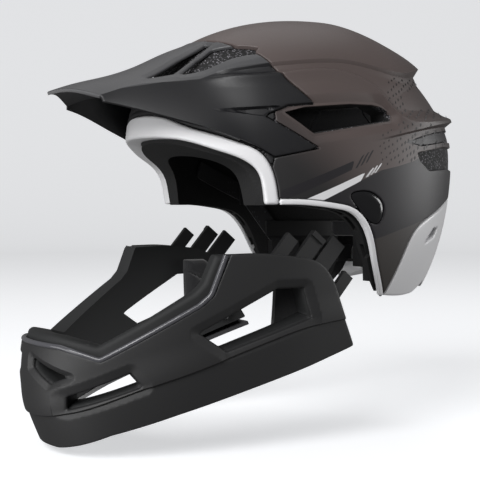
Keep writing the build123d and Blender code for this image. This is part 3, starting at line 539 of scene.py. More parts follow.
def plan_at(shares, side=1):
    """Turn plan shares into (x, y) in millimetres."""
    form = bpy.context.scene.helmet_form
    scale = np.array([side * form.width / 2, form.length / 2]) / MM
    return np.asarray(shares, float) * scale + [0, form.centre / MM]


def front_at(shares, side=1):
    """Turn front-view shares into (x, z) in millimetres."""
    form = bpy.context.scene.helmet_form
    return np.asarray(shares, float) * [side * form.width / 2 / MM, form.crown / MM]


# Point grids and outlines that several pieces ask for, worked out once
kept = {}


def grid_faces(rows, columns):
    """Two triangles for each cell of a grid of points."""
    cell = np.arange(rows * columns).reshape(rows, columns)
    corners = (np.s_[:-1, :-1], np.s_[1:, :-1], np.s_[1:, 1:], np.s_[:-1, 1:])
    a, b, c, d = (cell[i].ravel() for i in corners)
    return np.concatenate([np.stack([a, b, c], 1), np.stack([a, c, d], 1)])


def dome(steps):
    """Top and four sides of a cube of points, welded and spread evenly, and their triangles."""
    if steps in kept:
        return kept[steps]
    line = np.tan(np.linspace(-1, 1, steps + 1) * pi / 4)
    u, v = np.meshgrid(line, line, indexing="ij")
    one = np.ones_like(u)
    sides = [(u, v, one), (one, u, v), (-one, -u, v), (-u, one, v), (u, -one, v)]
    points = np.concatenate([np.stack(side, -1).reshape(-1, 3) for side in sides])
    cells = grid_faces(steps + 1, steps + 1)
    faces = np.concatenate([cells + k * one.size for k in range(len(sides))])
    points, index = np.unique(points.round(6) + 0.0, axis=0, return_inverse=True)
    kept[steps] = points, index.reshape(-1)[faces]
    return kept[steps]


def round_sheet(wide, long, top, drop, steps):
    """The round form with given half axes in millimetres, as a sheet."""
    form = bpy.context.scene.helmet_form
    power = form.roundness
    unit, faces = dome(steps)
    unit = unit / (np.abs(unit) ** power).sum(1)[:, None] ** (1 / power)
    back = unit[:, 1] > 0
    up = np.maximum(unit[:, 2], 0)
    slant = np.hypot(up, form.lean_start)
    draw = np.where(back, 1 - form.rear_lean * (slant - form.lean_start), 1)
    reach = np.where(back, long - form.rear_cut / MM, long) * draw
    axes = np.stack([np.full(len(unit), wide), reach, np.where(unit[:, 2] > 0, top, drop)], 1)
    normal = np.sign(unit) * np.abs(unit) ** (power - 1) / axes
    normal[:, 2] += back * np.abs(unit[:, 1]) ** power * form.rear_lean * up / slant / (top * draw)
    normal /= np.linalg.norm(normal, axis=1)[:, None]
    return {"faces": faces, "co": unit * axes + [0, form.centre / MM, 0], "no": normal}


def helmet_sheet(steps):
    """The helmet's outer surface."""
    form = bpy.context.scene.helmet_form
    return round_sheet(form.width / 2 / MM, form.length / 2 / MM, form.crown / MM, form.drop / MM, steps)


def cavity_sheet(inset, steps):
    """The head cavity's surface, drawn in by an inset and facing the head."""
    form, cave = bpy.context.scene.helmet_form, bpy.context.scene.cavity_form
    sheet = round_sheet(
        (form.width / 2 - cave.side_wall) / MM - inset,
        (form.length / 2 - cave.end_wall) / MM - inset,
        (form.crown - cave.crown_wall) / MM - inset,
        cave.drop / MM,
        steps,
    )
    return dict(sheet, faces=sheet["faces"][:, ::-1], no=-sheet["no"])


def helmet_outlines():
    """Closed side-view outlines that share out the helmet's surface."""
    if "outlines" in kept:
        return kept["outlines"]
    form = bpy.context.scene.helmet_form
    edge, brow, seam, bottom, nape = (smooth_line(at(shares)) for shares in (
        helmet_edge_shares, brow_edge_shares, brow_seam_shares, nape_bottom_shares, nape_front_shares))
    low = beside(edge, form.trim_width / MM)
    far_top, far_low = 200, -200  # heights beyond the whole helmet
    kept["outlines"] = {
        "edge": edge,
        "body": np.concatenate([
            brow, edge[1:], bottom[1:], [(bottom[-1][0], far_top), (brow[0][0], far_top)]]),
        "face": np.concatenate([seam, [(brow[0][0], seam[-1][1])]]),
        "lower": np.concatenate([low, [(low[-1][0], far_low), (low[0][0], far_low)]]),
        "nape": np.concatenate([nape, [(nape[-1][0], far_low), (nape[0][0], far_low)]]),
        "visor": np.concatenate([at(visor_back_shares), at(visor_low_shares)]),
        "band": at(band_zone_shares),
        "vent": at(side_vent_shares),
        "rear_vent": at(rear_vent_shares),
        "leaf": smooth_ring(at(button_shares)),
        "notch": at(notch_shares),
    }
    return kept["outlines"]


def crease_rows(sheet):
    """Add a sheet's distances to the creases, and cut rows of points along them."""
    spread = bpy.context.scene.helmet_form.crease_spread / MM
    for key, shares, levels in (
            ("crown", crown_crease_shares, (-spread, -CREASE_STEP, 0)),
            ("temple", temple_crease_shares, (-spread, -RIDGE_FLAT, RIDGE_FLAT, spread / 2)),
            ("rear", rear_crease_shares, (-CREASE_STEP, 0, 14))):
        sheet[key] = line_distance(sheet["co"][:, 1:], smooth_line(at(shares)))
        sheet = cut_rows(sheet, {key: levels})
    return sheet


def crease_lift(sheet):
    """Height of the creases, of the channel between them and of the back fins over the round form.

    Every ease() runs between two distances in millimetres, from a crease or along the helmet."""
    form = bpy.context.scene.helmet_form
    rise, spread = form.crease_rise / MM, form.crease_spread / MM
    channel_share, ridge_share, low_share = 0.8, 1.15, 0.8  # of the creases' rise
    crown_fade, ridge_fade = 0.75, 0.6  # how much of a crease is lost above it and towards the back
    ridge_power = 1.6
    hollow, undercut = 4.5, 1.5  # depth between the two fins and below the lower one
    y, back = sheet["co"][:, 1], np.clip(sheet["no"][:, 1], 0, 1)
    crown, temple, rear = sheet["crown"], sheet["temple"], sheet["rear"]
    start, low_start = at(crown_crease_shares)[0][0], at(rear_crease_shares)[0][0]
    begun = ease(y, start, start + 25)
    shelf, ledge = (np.clip((gap + CREASE_STEP) / CREASE_STEP, 0, 1) for gap in (crown, rear))
    lift = begun * rise * shelf * (1 - crown_fade * ease(crown, 0, 26))
    lift += form.upper_fin / MM * back * shelf * ease(y, 20, 80)
    lift -= channel_share * rise * begun * (1 - shelf) * ease(temple, 0, 6) * ease(-crown, 0, 6)
    slope = np.where(temple > 0, spread / 2, spread)
    ridge = np.clip(1 - np.maximum(np.abs(temple) - RIDGE_FLAT, 0) / slope, 0, 1)
    lift += ridge_share * rise * begun * (1 - ridge_fade * ease(y, 45, 100)) * ridge ** ridge_power
    lift += low_share * rise * ease(y, low_start, low_start + 60) * ledge * (1 - ease(rear, 0, 9))
    lift += form.lower_fin / MM * back * ledge * (1 - ease(rear, 2, 15))
    lift -= hollow * back * (1 - shelf) * ease(rear, 8, 18) * (1 - ease(rear, 26, 38))
    return lift - undercut * back * (1 - ledge) * (1 - ease(-rear, 12, 40))


# Finishes


def add(tree, kind, inputs=None, **settings):
    """Add one node, set it up, and set or link its inputs."""
    made = tree.nodes.new(kind)
    for key, value in settings.items():
        setattr(made, key, value)
    for key, value in (inputs or {}).items():
        if isinstance(value, bpy.types.NodeSocket):
            tree.links.new(value, made.inputs[key])
        else:
            made.inputs[key].default_value = value
    return made


def finish(name, base, roughness, bump=None, **shader):
    """A finish: base and roughness are values or functions of the tree, bump gives height and strength."""
    if name in bpy.data.materials:
        return bpy.data.materials[name]
    material = bpy.data.materials.new(name)
    material.use_nodes = True
    tree = material.node_tree
    skin = tree.nodes["Principled BSDF"]
    spot = add(tree, "ShaderNodeTexCoord").outputs["Object"]
    base = base if callable(base) else (*base, 1)
    for key, value in {"IOR": 1.5, "Base_Color": base, "Roughness": roughness, **shader}.items():
        socket = skin.inputs[key.replace("_", " ")]
        if callable(value):
            tree.links.new(value(tree, spot), socket)
        else:
            socket.default_value = value
    if bump:
        height, strength, depth = bump(tree, spot)
        node = add(tree, "ShaderNodeBump", {"Height": height, "Strength": strength, "Distance": depth})
        tree.links.new(node.outputs["Normal"], skin.inputs["Normal"])
    return material


def calculate(tree, operation, *values):
    """The result of one math node."""
    return add(tree, "ShaderNodeMath", dict(enumerate(values)), operation=operation).outputs[0]


def spread_out(tree, value, low, high, to_low=0.0, to_high=1.0, **settings):
    """Map what lies between two values to another range, and clamp the rest."""
    return add(tree, "ShaderNodeMapRange", {
        "Value": value, "From Min": low, "From Max": high, "To Min": to_low, "To Max": to_high,
    }, **settings).outputs["Result"]


def towards(tree, spot, way):
    """How far a point lies in a direction."""
    node = add(tree, "ShaderNodeVectorMath", {0: spot, 1: way}, operation="DOT_PRODUCT")
    return node.outputs["Value"]


def point_field(tree, name):
    """A number field that the mesh keeps on its points."""
    return add(tree, "ShaderNodeAttribute", attribute_name=name).outputs["Fac"]


def grain_noise(tree, spot, size_mm, detail):
    """Noise of a real grain size."""
    inputs = {"Vector": spot, "Scale": 1 / (size_mm * MM), "Detail": detail}
    return add(tree, "ShaderNodeTexNoise", inputs).outputs["Fac"]


def speckle(size_mm, low, high):
    """Roughness that varies between two values in grains of a real size."""
    def roughness(tree, spot):
        return spread_out(tree, grain_noise(tree, spot, size_mm, 2.0), 0.3, 0.7, low, high)
    return roughness


def grain(size_mm, strength, depth_mm):
    """Bump of a moulded grain."""
    def bump(tree, spot):
        return grain_noise(tree, spot, size_mm, 3.0), strength, depth_mm * MM
    return bump


def mix(tree, share, first, second):
    """Mix two colours by a share."""
    node = add(tree, "ShaderNodeMix", data_type="RGBA")
    colours = {"Factor": share, 6: first, 7: second}  # 6 and 7 are the node's two colour sockets
    for key, value in colours.items():
        if isinstance(value, bpy.types.NodeSocket):
            tree.links.new(value, node.inputs[key])
        else:
            node.inputs[key].default_value = (*value, 1)
    return node.outputs[2]


# The shell's painted regions, kept as distances on its points, in the order in which they lie over each
# other; the slot's plum black is painted shade in the recess below the low crease
painted_fields = ("low_panel", "dark_zone", "slot", "dark_mark", "white_mark")


def painted_abs():
    """Spray-painted ABS shell: a soft matt lacquer, taupe fading to charcoal, with sharp masked shapes, and
    plum black as painted shade in the recess below the low crease.
    """
    paint = bpy.context.scene.helmet_paint
    # The slot's tone is painted shade in the recess below the low crease
    tones = (paint.panel_grey, paint.plum_black, paint.plum_black, paint.plum_black, paint.white)
    mask_edge = 0.12  # half the width of a masked edge, in millimetres

    def base(tree, spot):
        y = towards(tree, spot, (0, 1, 0))
        slant = towards(tree, spot, (0, 0.75, 0.9))
        warm = spread_out(tree, slant, -0.06, -0.002, interpolation_type="SMOOTHSTEP")
        warm = calculate(tree, "MULTIPLY", warm, spread_out(tree, y, 0.035, 0.1, 1.0, 0.35))
        ground = mix(tree, warm, paint.charcoal[:], paint.taupe[:])
        for field, tone in zip(painted_fields, tones):
            inside = spread_out(tree, point_field(tree, field), mask_edge, -mask_edge)
            ground = mix(tree, inside, ground, tone[:])
        return ground

    return finish("painted_abs", base, speckle(0.8, 0.46, 0.54), grain(0.5, 0.08, 0.05))


def visor_abs():
    """Painted ABS visor: one matt lacquer, drawn mid grey above the crease as painted top light and nearly
    black below it as painted shade.
    """
    paint = bpy.context.scene.helmet_paint
    fade = 0.15  # half the width of the line between the tones, in millimetres

    def base(tree, spot):
        share = spread_out(tree, point_field(tree, "below"), -fade, fade)
        return mix(tree, share, paint.visor_lit_top[:], paint.visor_shaded_side[:])

    return finish("visor_abs", base, speckle(0.8, 0.44, 0.52), grain(0.5, 0.08, 0.05))


def chin_abs():
    """Moulded ABS chin guard: fine spark-eroded grain that keeps the highlights wide."""
    return finish("chin_abs", bpy.context.scene.helmet_paint.chin_black[:], speckle(0.7, 0.5, 0.6),
                  grain(0.45, 0.16, 0.06))


def white_abs():
    """Painted white ABS: satin, with a faint orange-peel surface."""
    return finish("white_abs", bpy.context.scene.helmet_paint.white[:], 0.36, grain(1.6, 0.05, 0.03))


def ribbed_rubber():
    """Soft TPE rubber: very dark and dull."""
    return finish("ribbed_rubber", linear("#151517"), 0.62, grain(0.6, 0.15, 0.05))


def gloss_abs():
    """Polished black ABS: a clear glossy skin."""
    return finish("gloss_abs", linear("#151517"), 0.16, grain(4, 0.03, 0.03))


def piping_painted_highlight():
    """Polished black PVC, its colour lifted to dark grey as a painted highlight along it, with a bright line
    where the light runs along it.
    """
    return finish("piping_painted_highlight", linear("#4c4c50"), 0.18, grain(4, 0.03, 0.03))


def lip_rubber():
    """Smooth grey TPE lip: a dull light edge under the black gap."""
    return finish("lip_rubber", linear("#3c3c3e"), 0.4, grain(0.6, 0.1, 0.05))


def glass_nylon():
    """Glass-filled nylon: dull black with a faint streaky grain."""
    return finish("glass_nylon", linear("#1c1c1d"), speckle(1.2, 0.42, 0.58), grain(0.7, 0.2, 0.06))


def bright_steel():
    """Bright spring steel wire."""
    return finish("bright_steel", linear("#b9babd"), 0.28, Metallic=1.0)


def bead_foam():
    """Black expanded polystyrene: 1.6 mm beads pressed together, with pale specks on the bare outside.

    The foam is plain dark, without specks, inside a round form of the liner's half sizes, and the specks stop
    below a slanting level."""
    paint = bpy.context.scene.helmet_paint
    bead_mm, dent_mm, dent_strength = 1.6, 0.4, 0.5
    # One over the half sizes in metres, and what the middle's place takes off towards front and back
    across, ahead, behind, above, below = 9.52, 7.07, 8.1, 10.0, -5.9
    ahead_shift, behind_shift = -0.06, -0.069

    def beads(tree, spot, **settings):
        return add(tree, "ShaderNodeTexVoronoi", {"Vector": spot, "Scale": 1 / (bead_mm * MM)}, **settings)

    def base(tree, spot):
        cell = beads(tree, spot)
        tone = add(tree, "ShaderNodeSeparateColor", {"Color": cell.outputs["Color"]}).outputs[0]
        core = spread_out(tree, cell.outputs["Distance"], 0.5, 0.25)
        lit = spread_out(tree, tone, 0.1, 0.8)
        x, y, z = add(tree, "ShaderNodeSeparateXYZ", {"Vector": spot}).outputs
        tall = calculate(tree, "MAXIMUM", calculate(tree, "MULTIPLY", z, above),
                         calculate(tree, "MULTIPLY", z, below))
        deep = calculate(tree, "MAXIMUM", calculate(tree, "MULTIPLY_ADD", y, ahead, ahead_shift),
                         calculate(tree, "MULTIPLY_ADD", y, behind, behind_shift))
        wide = calculate(tree, "MULTIPLY", x, across)
        out = add(tree, "ShaderNodeCombineXYZ", {"X": wide, "Y": deep, "Z": tall}).outputs[0]
        out = add(tree, "ShaderNodeVectorMath", {0: out}, operation="LENGTH").outputs["Value"]
        high = spread_out(tree, towards(tree, spot, (0, 0.25, 1)), -0.018, -0.012)
        share = calculate(tree, "MULTIPLY", core, lit)
        for mask in (spread_out(tree, out, 0.9, 0.94), high):
            share = calculate(tree, "MULTIPLY", share, mask)
        return mix(tree, share, paint.foam[:], paint.bead[:])

    def bump(tree, spot):
        return beads(tree, spot, feature="SMOOTH_F1").outputs["Distance"], dent_strength, -dent_mm * MM

    return finish("bead_foam", base, 0.8, bump)


def skinned_foam():
    """Moulded foam with a closed skin: almost black and dull, with a fine leathery grain."""
    return finish("skinned_foam", linear("#18191a"), 0.72, grain(0.9, 0.3, 0.15))


def cloth(name, tone, pitch_mm, sheen):
    """Knitted or woven polyester: loops of a real pitch on the piece's own flat map."""
    def bump(tree, spot):
        inputs = {"Vector": add(tree, "ShaderNodeUVMap", uv_map="flat").outputs["UV"],
                  "Scale": pi / (10 * pitch_mm * MM)}
        waves = [add(tree, "ShaderNodeTexWave", inputs, bands_direction=way).outputs["Fac"] for way in "XY"]
        return calculate(tree, "MULTIPLY", *waves), 0.35, 0.3 * MM
    return finish(name, tone, 0.85, bump, Sheen_Weight=sheen, Sheen_Roughness=0.5)


def knit_cloth():
    """Brushed polyester knit of the pads: dull, with a soft sheen."""
    return cloth("knit_cloth", bpy.context.scene.helmet_paint.pad[:], 1.0, 0.4)


def woven_webbing():
    """Woven polyester webbing of the strap: tight, slightly shiny threads."""
    return cloth("woven_webbing", bpy.context.scene.helmet_paint.web[:], 0.8, 0.25)


def pale_thread():
    """Bonded polyester thread of the stitches."""
    return finish("pale_thread", linear("#3a3a3e"), 0.7)


# What repeats or follows a path, grown by node trees


def new_tree(name, *sizes):
    """A geometry node tree with a mesh input and named number inputs."""
    tree = bpy.data.node_groups.new(name, "GeometryNodeTree")
    tree.interface.new_socket("Geometry", in_out="INPUT", socket_type="NodeSocketGeometry")
    for size in sizes:
        tree.interface.new_socket(size, in_out="INPUT", socket_type="NodeSocketFloat")
    tree.interface.new_socket("Geometry", in_out="OUTPUT", socket_type="NodeSocketGeometry")
    return tree, add(tree, "NodeGroupInput")


def close_tree(tree, geometry, material):
    """End a tree with real geometry and its finish."""
    real = add(tree, "GeometryNodeRealizeInstances", {"Geometry": geometry})
    painted = add(tree, "GeometryNodeSetMaterial", {"Geometry": real.outputs[0], "Material": material})
    add(tree, "NodeGroupOutput", {0: painted.outputs[0]})


def grow(piece, tree, **sizes):
    """Run a tree on a piece and keep the result as a plain mesh."""
    modifier = piece.modifiers.new(tree.name, "NODES")
    modifier.node_group = tree
    for item in tree.interface.items_tree:
        if item.in_out == "INPUT" and item.name in sizes:
            modifier[item.identifier] = sizes[item.name]
    bpy.context.view_layer.update()
    graph = bpy.context.evaluated_depsgraph_get()
    mesh = bpy.data.meshes.new_from_object(piece.evaluated_get(graph), depsgraph=graph)
    piece.modifiers.clear()
    piece.data = mesh
    return piece


def marks_tree(material):
    """Small flat diamonds on points, each turned to its normal and scaled by its size."""
    tree, given = new_tree("marks", "Width", "Length", "Depth")

    def result(kind, inputs, **settings):
        return add(tree, kind, inputs, **settings).outputs[0]

    normal = result("GeometryNodeInputNamedAttribute", {"Name": "way"}, data_type="FLOAT_VECTOR")
    size = result("GeometryNodeInputNamedAttribute", {"Name": "size"}, data_type="FLOAT")
    spots = result("GeometryNodeMeshToPoints", {"Mesh": given.outputs["Geometry"]})
    shape = result("GeometryNodeMeshCylinder", {"Vertices": 4, "Radius": 0.5, "Depth": 1.0})
    up = result("FunctionNodeAlignRotationToVector", {"Vector": normal}, axis="Z")
    turn = result("FunctionNodeAlignRotationToVector", {"Rotation": up, "Vector": (0, 0.3, 1)}, axis="Y",
                  pivot_axis="Z")
    wide, tall = (calculate(tree, "MULTIPLY", given.outputs[key], size) for key in ("Width", "Length"))
    scale = result("ShaderNodeCombineXYZ", {"X": wide, "Y": tall, "Z": given.outputs["Depth"]})
    grown = result("GeometryNodeInstanceOnPoints", {
        "Points": spots, "Instance": shape, "Rotation": turn, "Scale": scale})
    close_tree(tree, grown, material)
    return tree


def tube_tree(material):
    """A round tube with closed ends along a line of edges."""
    tree, given = new_tree("tube", "Radius")
    path = add(tree, "GeometryNodeMeshToCurve", {"Mesh": given.outputs["Geometry"]}).outputs[0]
    ring = add(tree, "GeometryNodeCurvePrimitiveCircle", {
        "Resolution": 14, "Radius": given.outputs["Radius"]}).outputs[0]
    tube = add(tree, "GeometryNodeCurveToMesh", {
        "Curve": path, "Profile Curve": ring, "Fill Caps": True}).outputs[0]
    close_tree(tree, tube, material)
    return tree


def tube(name, path, radius, material):
    """A round tube of a radius in metres along points in millimetres."""
    mesh = bpy.data.meshes.new(name)
    mesh.from_pydata((path * MM).tolist(), [(i, i + 1) for i in range(len(path) - 1)], [])
    piece = grow(new_piece(name, mesh, material), tube_tree(material), Radius=radius)
    piece.data.shade_smooth()
    return piece


def marks(name, spots, ways, sizes, material, shape, body, finish_slot):
    """Place marks on points in millimetres: their directions, sizes, and shape as width, length, depth."""
    piece = mesh_piece(name, spots, np.zeros((0, 3), int), material, size=sizes)
    piece.data.attributes.new("way", "FLOAT_VECTOR", "POINT").data.foreach_set(
        "vector", np.asarray(ways, np.float32).ravel())
    width, tall, depth = shape
    grow(piece, marks_tree(material), Width=width * MM, Length=tall * MM, Depth=depth * MM)
    settle(piece, body, finish_slot)


# Regions of the helmet's surface


def body_fields(sheet):
    """Distances to the regions that share out the surface, in the side view."""
    side = sheet["co"][:, 1:]
    return {name: outline_distance(side, ring) for name, ring in helmet_outlines().items() if name != "edge"}


def top_vents(points):
    """Distance to the vents of the crown and brow, seen from above."""
    return rings_distance(points[:, :2], [
        plan_at(shares, side) for shares in (spine_vent_shares, brow_vent_shares) for side, _ in SIDES])


def peak_split():
    """Where the visor leaves the shell's form, as y in millimetres."""
    return at([(peak_split_share, 0)])[0][0]


def every(*fields):
    """Inside all of the fields."""
    return np.maximum.reduce(fields)


def hash_marks(shares):
    """Three slanted bars, one behind the other, from the first bar's ends."""
    bars = []
    for step in range(3):
        low, high = np.asarray(shares, float) + np.array(hash_step_share) * step
        bars.append(at([low, high, high + hash_width_share, low + hash_width_share]))
    return bars


class HELMET_OT_shell(bpy.types.Operator):
    """Build the painted shell with its creases, fins, vents and printed dots"""
    bl_idname = "helmet.shell"
    bl_label = "Outer shell"

    def execute(self, context):
        form = context.scene.helmet_form
        edge, bevel, slot_slope = 0.8, form.bevel / MM, 1.2
        visor_gap, leaf_gap = 0.35, 0.25
        lowest, slot_level = -130, 40  # heights below and above which nothing is built or slotted
        sheet = helmet_sheet(170)
        sheet = keep(sheet, (sheet["co"][sheet["faces"]][:, :, 2] > lowest).any(1))
        points, side, area = sheet["co"], sheet["co"][:, 1:], body_fields(sheet)
        slots = rings_distance(points[:, :2], [plan_at(crown_slot_shares, way) for way, _ in SIDES])
        field = every(
            area["body"], -area["face"], -area["lower"], -area["nape"], visor_gap - area["visor"],
            -area["band"], peak_split() - points[:, 1], -area["vent"], -area["rear_vent"],
            leaf_gap - area["leaf"], -top_vents(points), -np.where(points[:, 2] > slot_level, slots, OUTSIDE),
        ) + form.seam / MM
        zones = {
            # The slot is painted plum black as painted shade in the recess
            "slot": [at(rear_slot_shares)],
            "dark_zone": [at(dark_zone_shares)],
            "low_panel": [at(low_panel_shares)],
            "dark_mark": [at(dark_stripe_shares), *hash_marks(dark_hash_shares)],
            "white_mark": [at(white_stripe_shares), *hash_marks(white_hash_shares)],
        }
        sheet.update({name: rings_distance(side, rings) for name, rings in zones.items()})
        sheet["vent_bevel"] = area["vent"]
        sheet = cut_rows(crease_rows(trim(sheet, field, rings_for(edge))), {
            "vent_bevel": (bevel, bevel / 2), "slot": (0, -slot_slope), "dark_zone": (0,),
            "low_panel": (0,), "dark_mark": (0,), "white_mark": (0,),
        })
        lift = crease_lift(sheet)
        lift -= form.vent_drop / MM * np.clip(1 - sheet["vent_bevel"] / bevel, 0, 1) ** 1.2
        lift -= form.slot_drop / MM * ease(sheet["co"][:, 1], 38, 75) \
            * np.clip(-sheet["slot"] / slot_slope, 0, 1)
        points, faces = wall(sheet, form.shell_wall / MM, edge, lift)
        fields = {key: np.tile(sheet[key], 2) for key in painted_fields}
        piece = mesh_piece("shell_look", points, faces, painted_abs(), 28, **fields)
        settle(piece, "helmet", "shell", "outer_shell")
        self.dots(sheet, lift)
        return {"FINISHED"}

    def dots(self, sheet, lift):
        """Print a halftone of small dark diamonds that grow towards the back."""
        shape, raised = (2.2, 4.1, 0.12), 0.03
        smallest, growth, reach = 0.4, 0.7, 1.0  # shares of the shape, and how far off its place one may be
        first, across, down = (4, 48), np.array([3.7, 2.1]), np.array([0.9, -4.9])
        rows = np.array([first + across * i + down * j for i in range(34) for j in range(-2, 26)])
        y, z = rows.T
        rows = rows[(z > -14) & (z < 52) & (y > 12 + 0.35 * z)]
        surface = sheet["co"] + sheet["no"] * (lift + raised)[:, None]
        # Clear of the edges, of the dark zone, of the creases and the vents, and where the shell still
        # faces sideways more than back
        clear = np.logical_and.reduce([
            sheet["field"] < -2.2, sheet["dark_zone"] > 1, np.abs(sheet["temple"]) > 1.5,
            np.abs(sheet["rear"] + CREASE_STEP / 2) > 2, sheet["vent_bevel"] > 7, sheet["crown"] < -3,
            sheet["no"][:, 1] < 0.64,
        ])
        picked, ways, sizes = [], [], []
        for side, _ in SIDES:
            mine = np.flatnonzero(clear & (sheet["co"][:, 0] * side > 45))
            flat = surface[mine][:, 1:]
            for y, z in rows:
                gap = ((flat - (y, z)) ** 2).sum(1)
                near = gap.argmin()
                if gap[near] < reach:
                    picked.append(surface[mine[near]])
                    ways.append(sheet["no"][mine[near]])
                    sizes.append(smallest + growth * ease(y, 5, 75))
        marks("halftone_dots", picked, ways, sizes, ink(), shape, "helmet", "shell")


def ink():
    """Printed ink of the halftone: darker and duller than the lacquer."""
    return finish("ink", linear("#1d1a1b"), 0.55, grain(0.5, 0.08, 0.05))


def peak_section(y):
    """The visor's section points at each y, from a smooth run through its stations."""
    form = bpy.context.scene.helmet_form
    behind = 0.05  # how far before the first station the curve may be read
    stations = np.array([row[0] for row in peak_shares])[::-1]
    values = np.array([np.concatenate([*row[1:5], [row[5]]]) for row in peak_shares])[::-1]
    share = (y - form.centre / MM) / (form.length / 2 / MM)
    rows = spline(stations, values, np.clip(share, stations[0] - behind, stations[-1]))
    scale = np.array([form.width / 2 / MM, form.crown / MM])
    low, flank, crease, upper = (rows[:, i:i + 2] * scale for i in (0, 2, 4, 6))
    return low, flank, crease, upper, rows[:, 8] * form.crown / MM


def visor_sheet():
    """The visor's outer surface as rows across the helmet.

    Each row is a curve through the low edge, the side and the crease, then one over the crown. Where it lies
    close to the round form it is drawn onto it, so that the tail ends flush with the shell."""
    form = bpy.context.scene.helmet_form
    blend, flush_end, free_start = 2.5, 52, 80  # millimetres off the form, and forwards of the origin
    tail, fine, tip = -33, -88, -207
    side_points, crown_points = 27, 40
    y = np.concatenate([np.arange(tail, fine, -1.6), np.arange(fine, tip, -1.5)])
    low, flank, crease, upper, ridge = peak_section(y)
    low, flank, edge = low[:, None], flank[:, None], crease[:, None]
    u = np.linspace(0, 1, side_points)[None, :, None]
    side = low * (1 - u) * (1 - 2 * u) + flank * 4 * u * (1 - u) + edge * u * (2 * u - 1)
    xu, xc = upper[:, 0], crease[:, 0]
    du, dc = upper[:, 1] - ridge, crease[:, 1] - ridge
    bend = (dc / xc ** 2 - du / xu ** 2) / (xc ** 2 - xu ** 2)
    slope = du / xu ** 2 - bend * xu ** 2
    x = xc[:, None] * (1 - np.linspace(0, 1, crown_points)[None, 1:])
    z = ridge[:, None] + slope[:, None] * x ** 2 + bend[:, None] * x ** 4
    half = np.concatenate([side, np.stack([x, z], -1)], 1)
    rows = np.concatenate([half, half[:, -2::-1] * [-1, 1]], 1)
    power = form.roundness
    tall = np.where(rows[..., 1] > 0, form.crown, form.drop) / MM
    reach = np.abs(rows[..., 0] / (form.width / 2 / MM)) ** power + np.abs(rows[..., 1] / tall) ** power
    left = np.maximum(1 - np.abs((y - form.centre / MM) / (form.length / 2 / MM)) ** power, 1e-4)
    on_form = rows * ((left[:, None] / reach) ** (1 / power))[..., None]
    far = np.linalg.norm(on_form, axis=2)
    beyond = np.linalg.norm(rows, axis=2) - far
    lift = 0.5 * (beyond + np.hypot(beyond, blend)) * ease(-y, flush_end, free_start)[:, None]
    rows = on_form * (1 + lift / far)[..., None]
    ahead = np.broadcast_to(y[:, None, None], rows[..., :1].shape)
    return grid_sheet(np.concatenate([rows[..., :1], ahead, rows[..., 1:]], 2))


def grid_sheet(points):
    """A sheet from rows of points, turned to face away from their middle."""
    faces = grid_faces(*points.shape[:2])
    points = points.reshape(-1, 3)
    p, q, r = (points[faces[:, i]] for i in range(3))
    flat = np.cross(q - p, r - p)
    if (flat * (p - points.mean(0))).sum() < 0:
        faces, flat = faces[:, ::-1], -flat
    normal = np.zeros_like(points)
    for i in range(3):
        np.add.at(normal, faces[:, i], flat)
    return {"faces": faces, "co": points, "no": normal / np.linalg.norm(normal, axis=1)[:, None]}


class HELMET_OT_visor(bpy.types.Operator):
    """Build the visor with its crease, vents and flush tail"""
    bl_idname = "helmet.visor"
    bl_label = "Visor"

    def execute(self, context):
        form = context.scene.helmet_form
        edge, groove_slope, vent_slope = 1.0, 1.5, 5
        groove_drop, vent_drop = 3.2, 1.2
        sheet = visor_sheet()
        points, side, vents = sheet["co"], sheet["co"][:, 1:], -top_vents(sheet["co"])
        front = plan_at(visor_front_shares)
        wide, behind = front[-1][0], 100
        plan = np.concatenate([front, [(wide, behind), (-wide, behind)], front[:0:-1] * [-1, 1]])
        overlap = peak_split_share - 0.1  # the tail's outline reaches forwards past the split
        tail = np.concatenate([helmet_outlines()["visor"], at([(overlap, 0.02), (overlap, 0.807)])])
        field = every(
            outline_distance(points[:, :2], plan),
            np.minimum(outline_distance(side, tail), points[:, 1] - peak_split()), vents,
        ) + form.seam / MM
        sheet["groove"] = outline_distance(side, at(groove_shares))
        sheet["slot"] = vents
        # Below this line the visor takes its painted shaded tone, above it its painted lit tone
        sheet["below"] = -line_distance(side, at(visor_shade_line_shares))
        sheet = cut_rows(crease_rows(trim(sheet, field, rings_for(edge))), {
            "groove": (0, -groove_slope), "slot": (-vent_slope,), "below": (0,)})
        deep = ease(sheet["co"][:, 1], -112, -74)
        lift = crease_lift(sheet) - groove_drop * deep * np.clip(-sheet["groove"] / groove_slope, 0, 1)
        lift -= vent_drop * np.clip(1 + sheet["slot"] / vent_slope, 0, 1)
        points, faces = wall(sheet, form.visor_wall / MM, edge, lift)
        below = np.tile(sheet["below"], 2)
        piece = mesh_piece("visor_look", points, faces, visor_abs(), 24, below=below)
        settle(piece, "helmet", "visor", "visor")
        return {"FINISHED"}


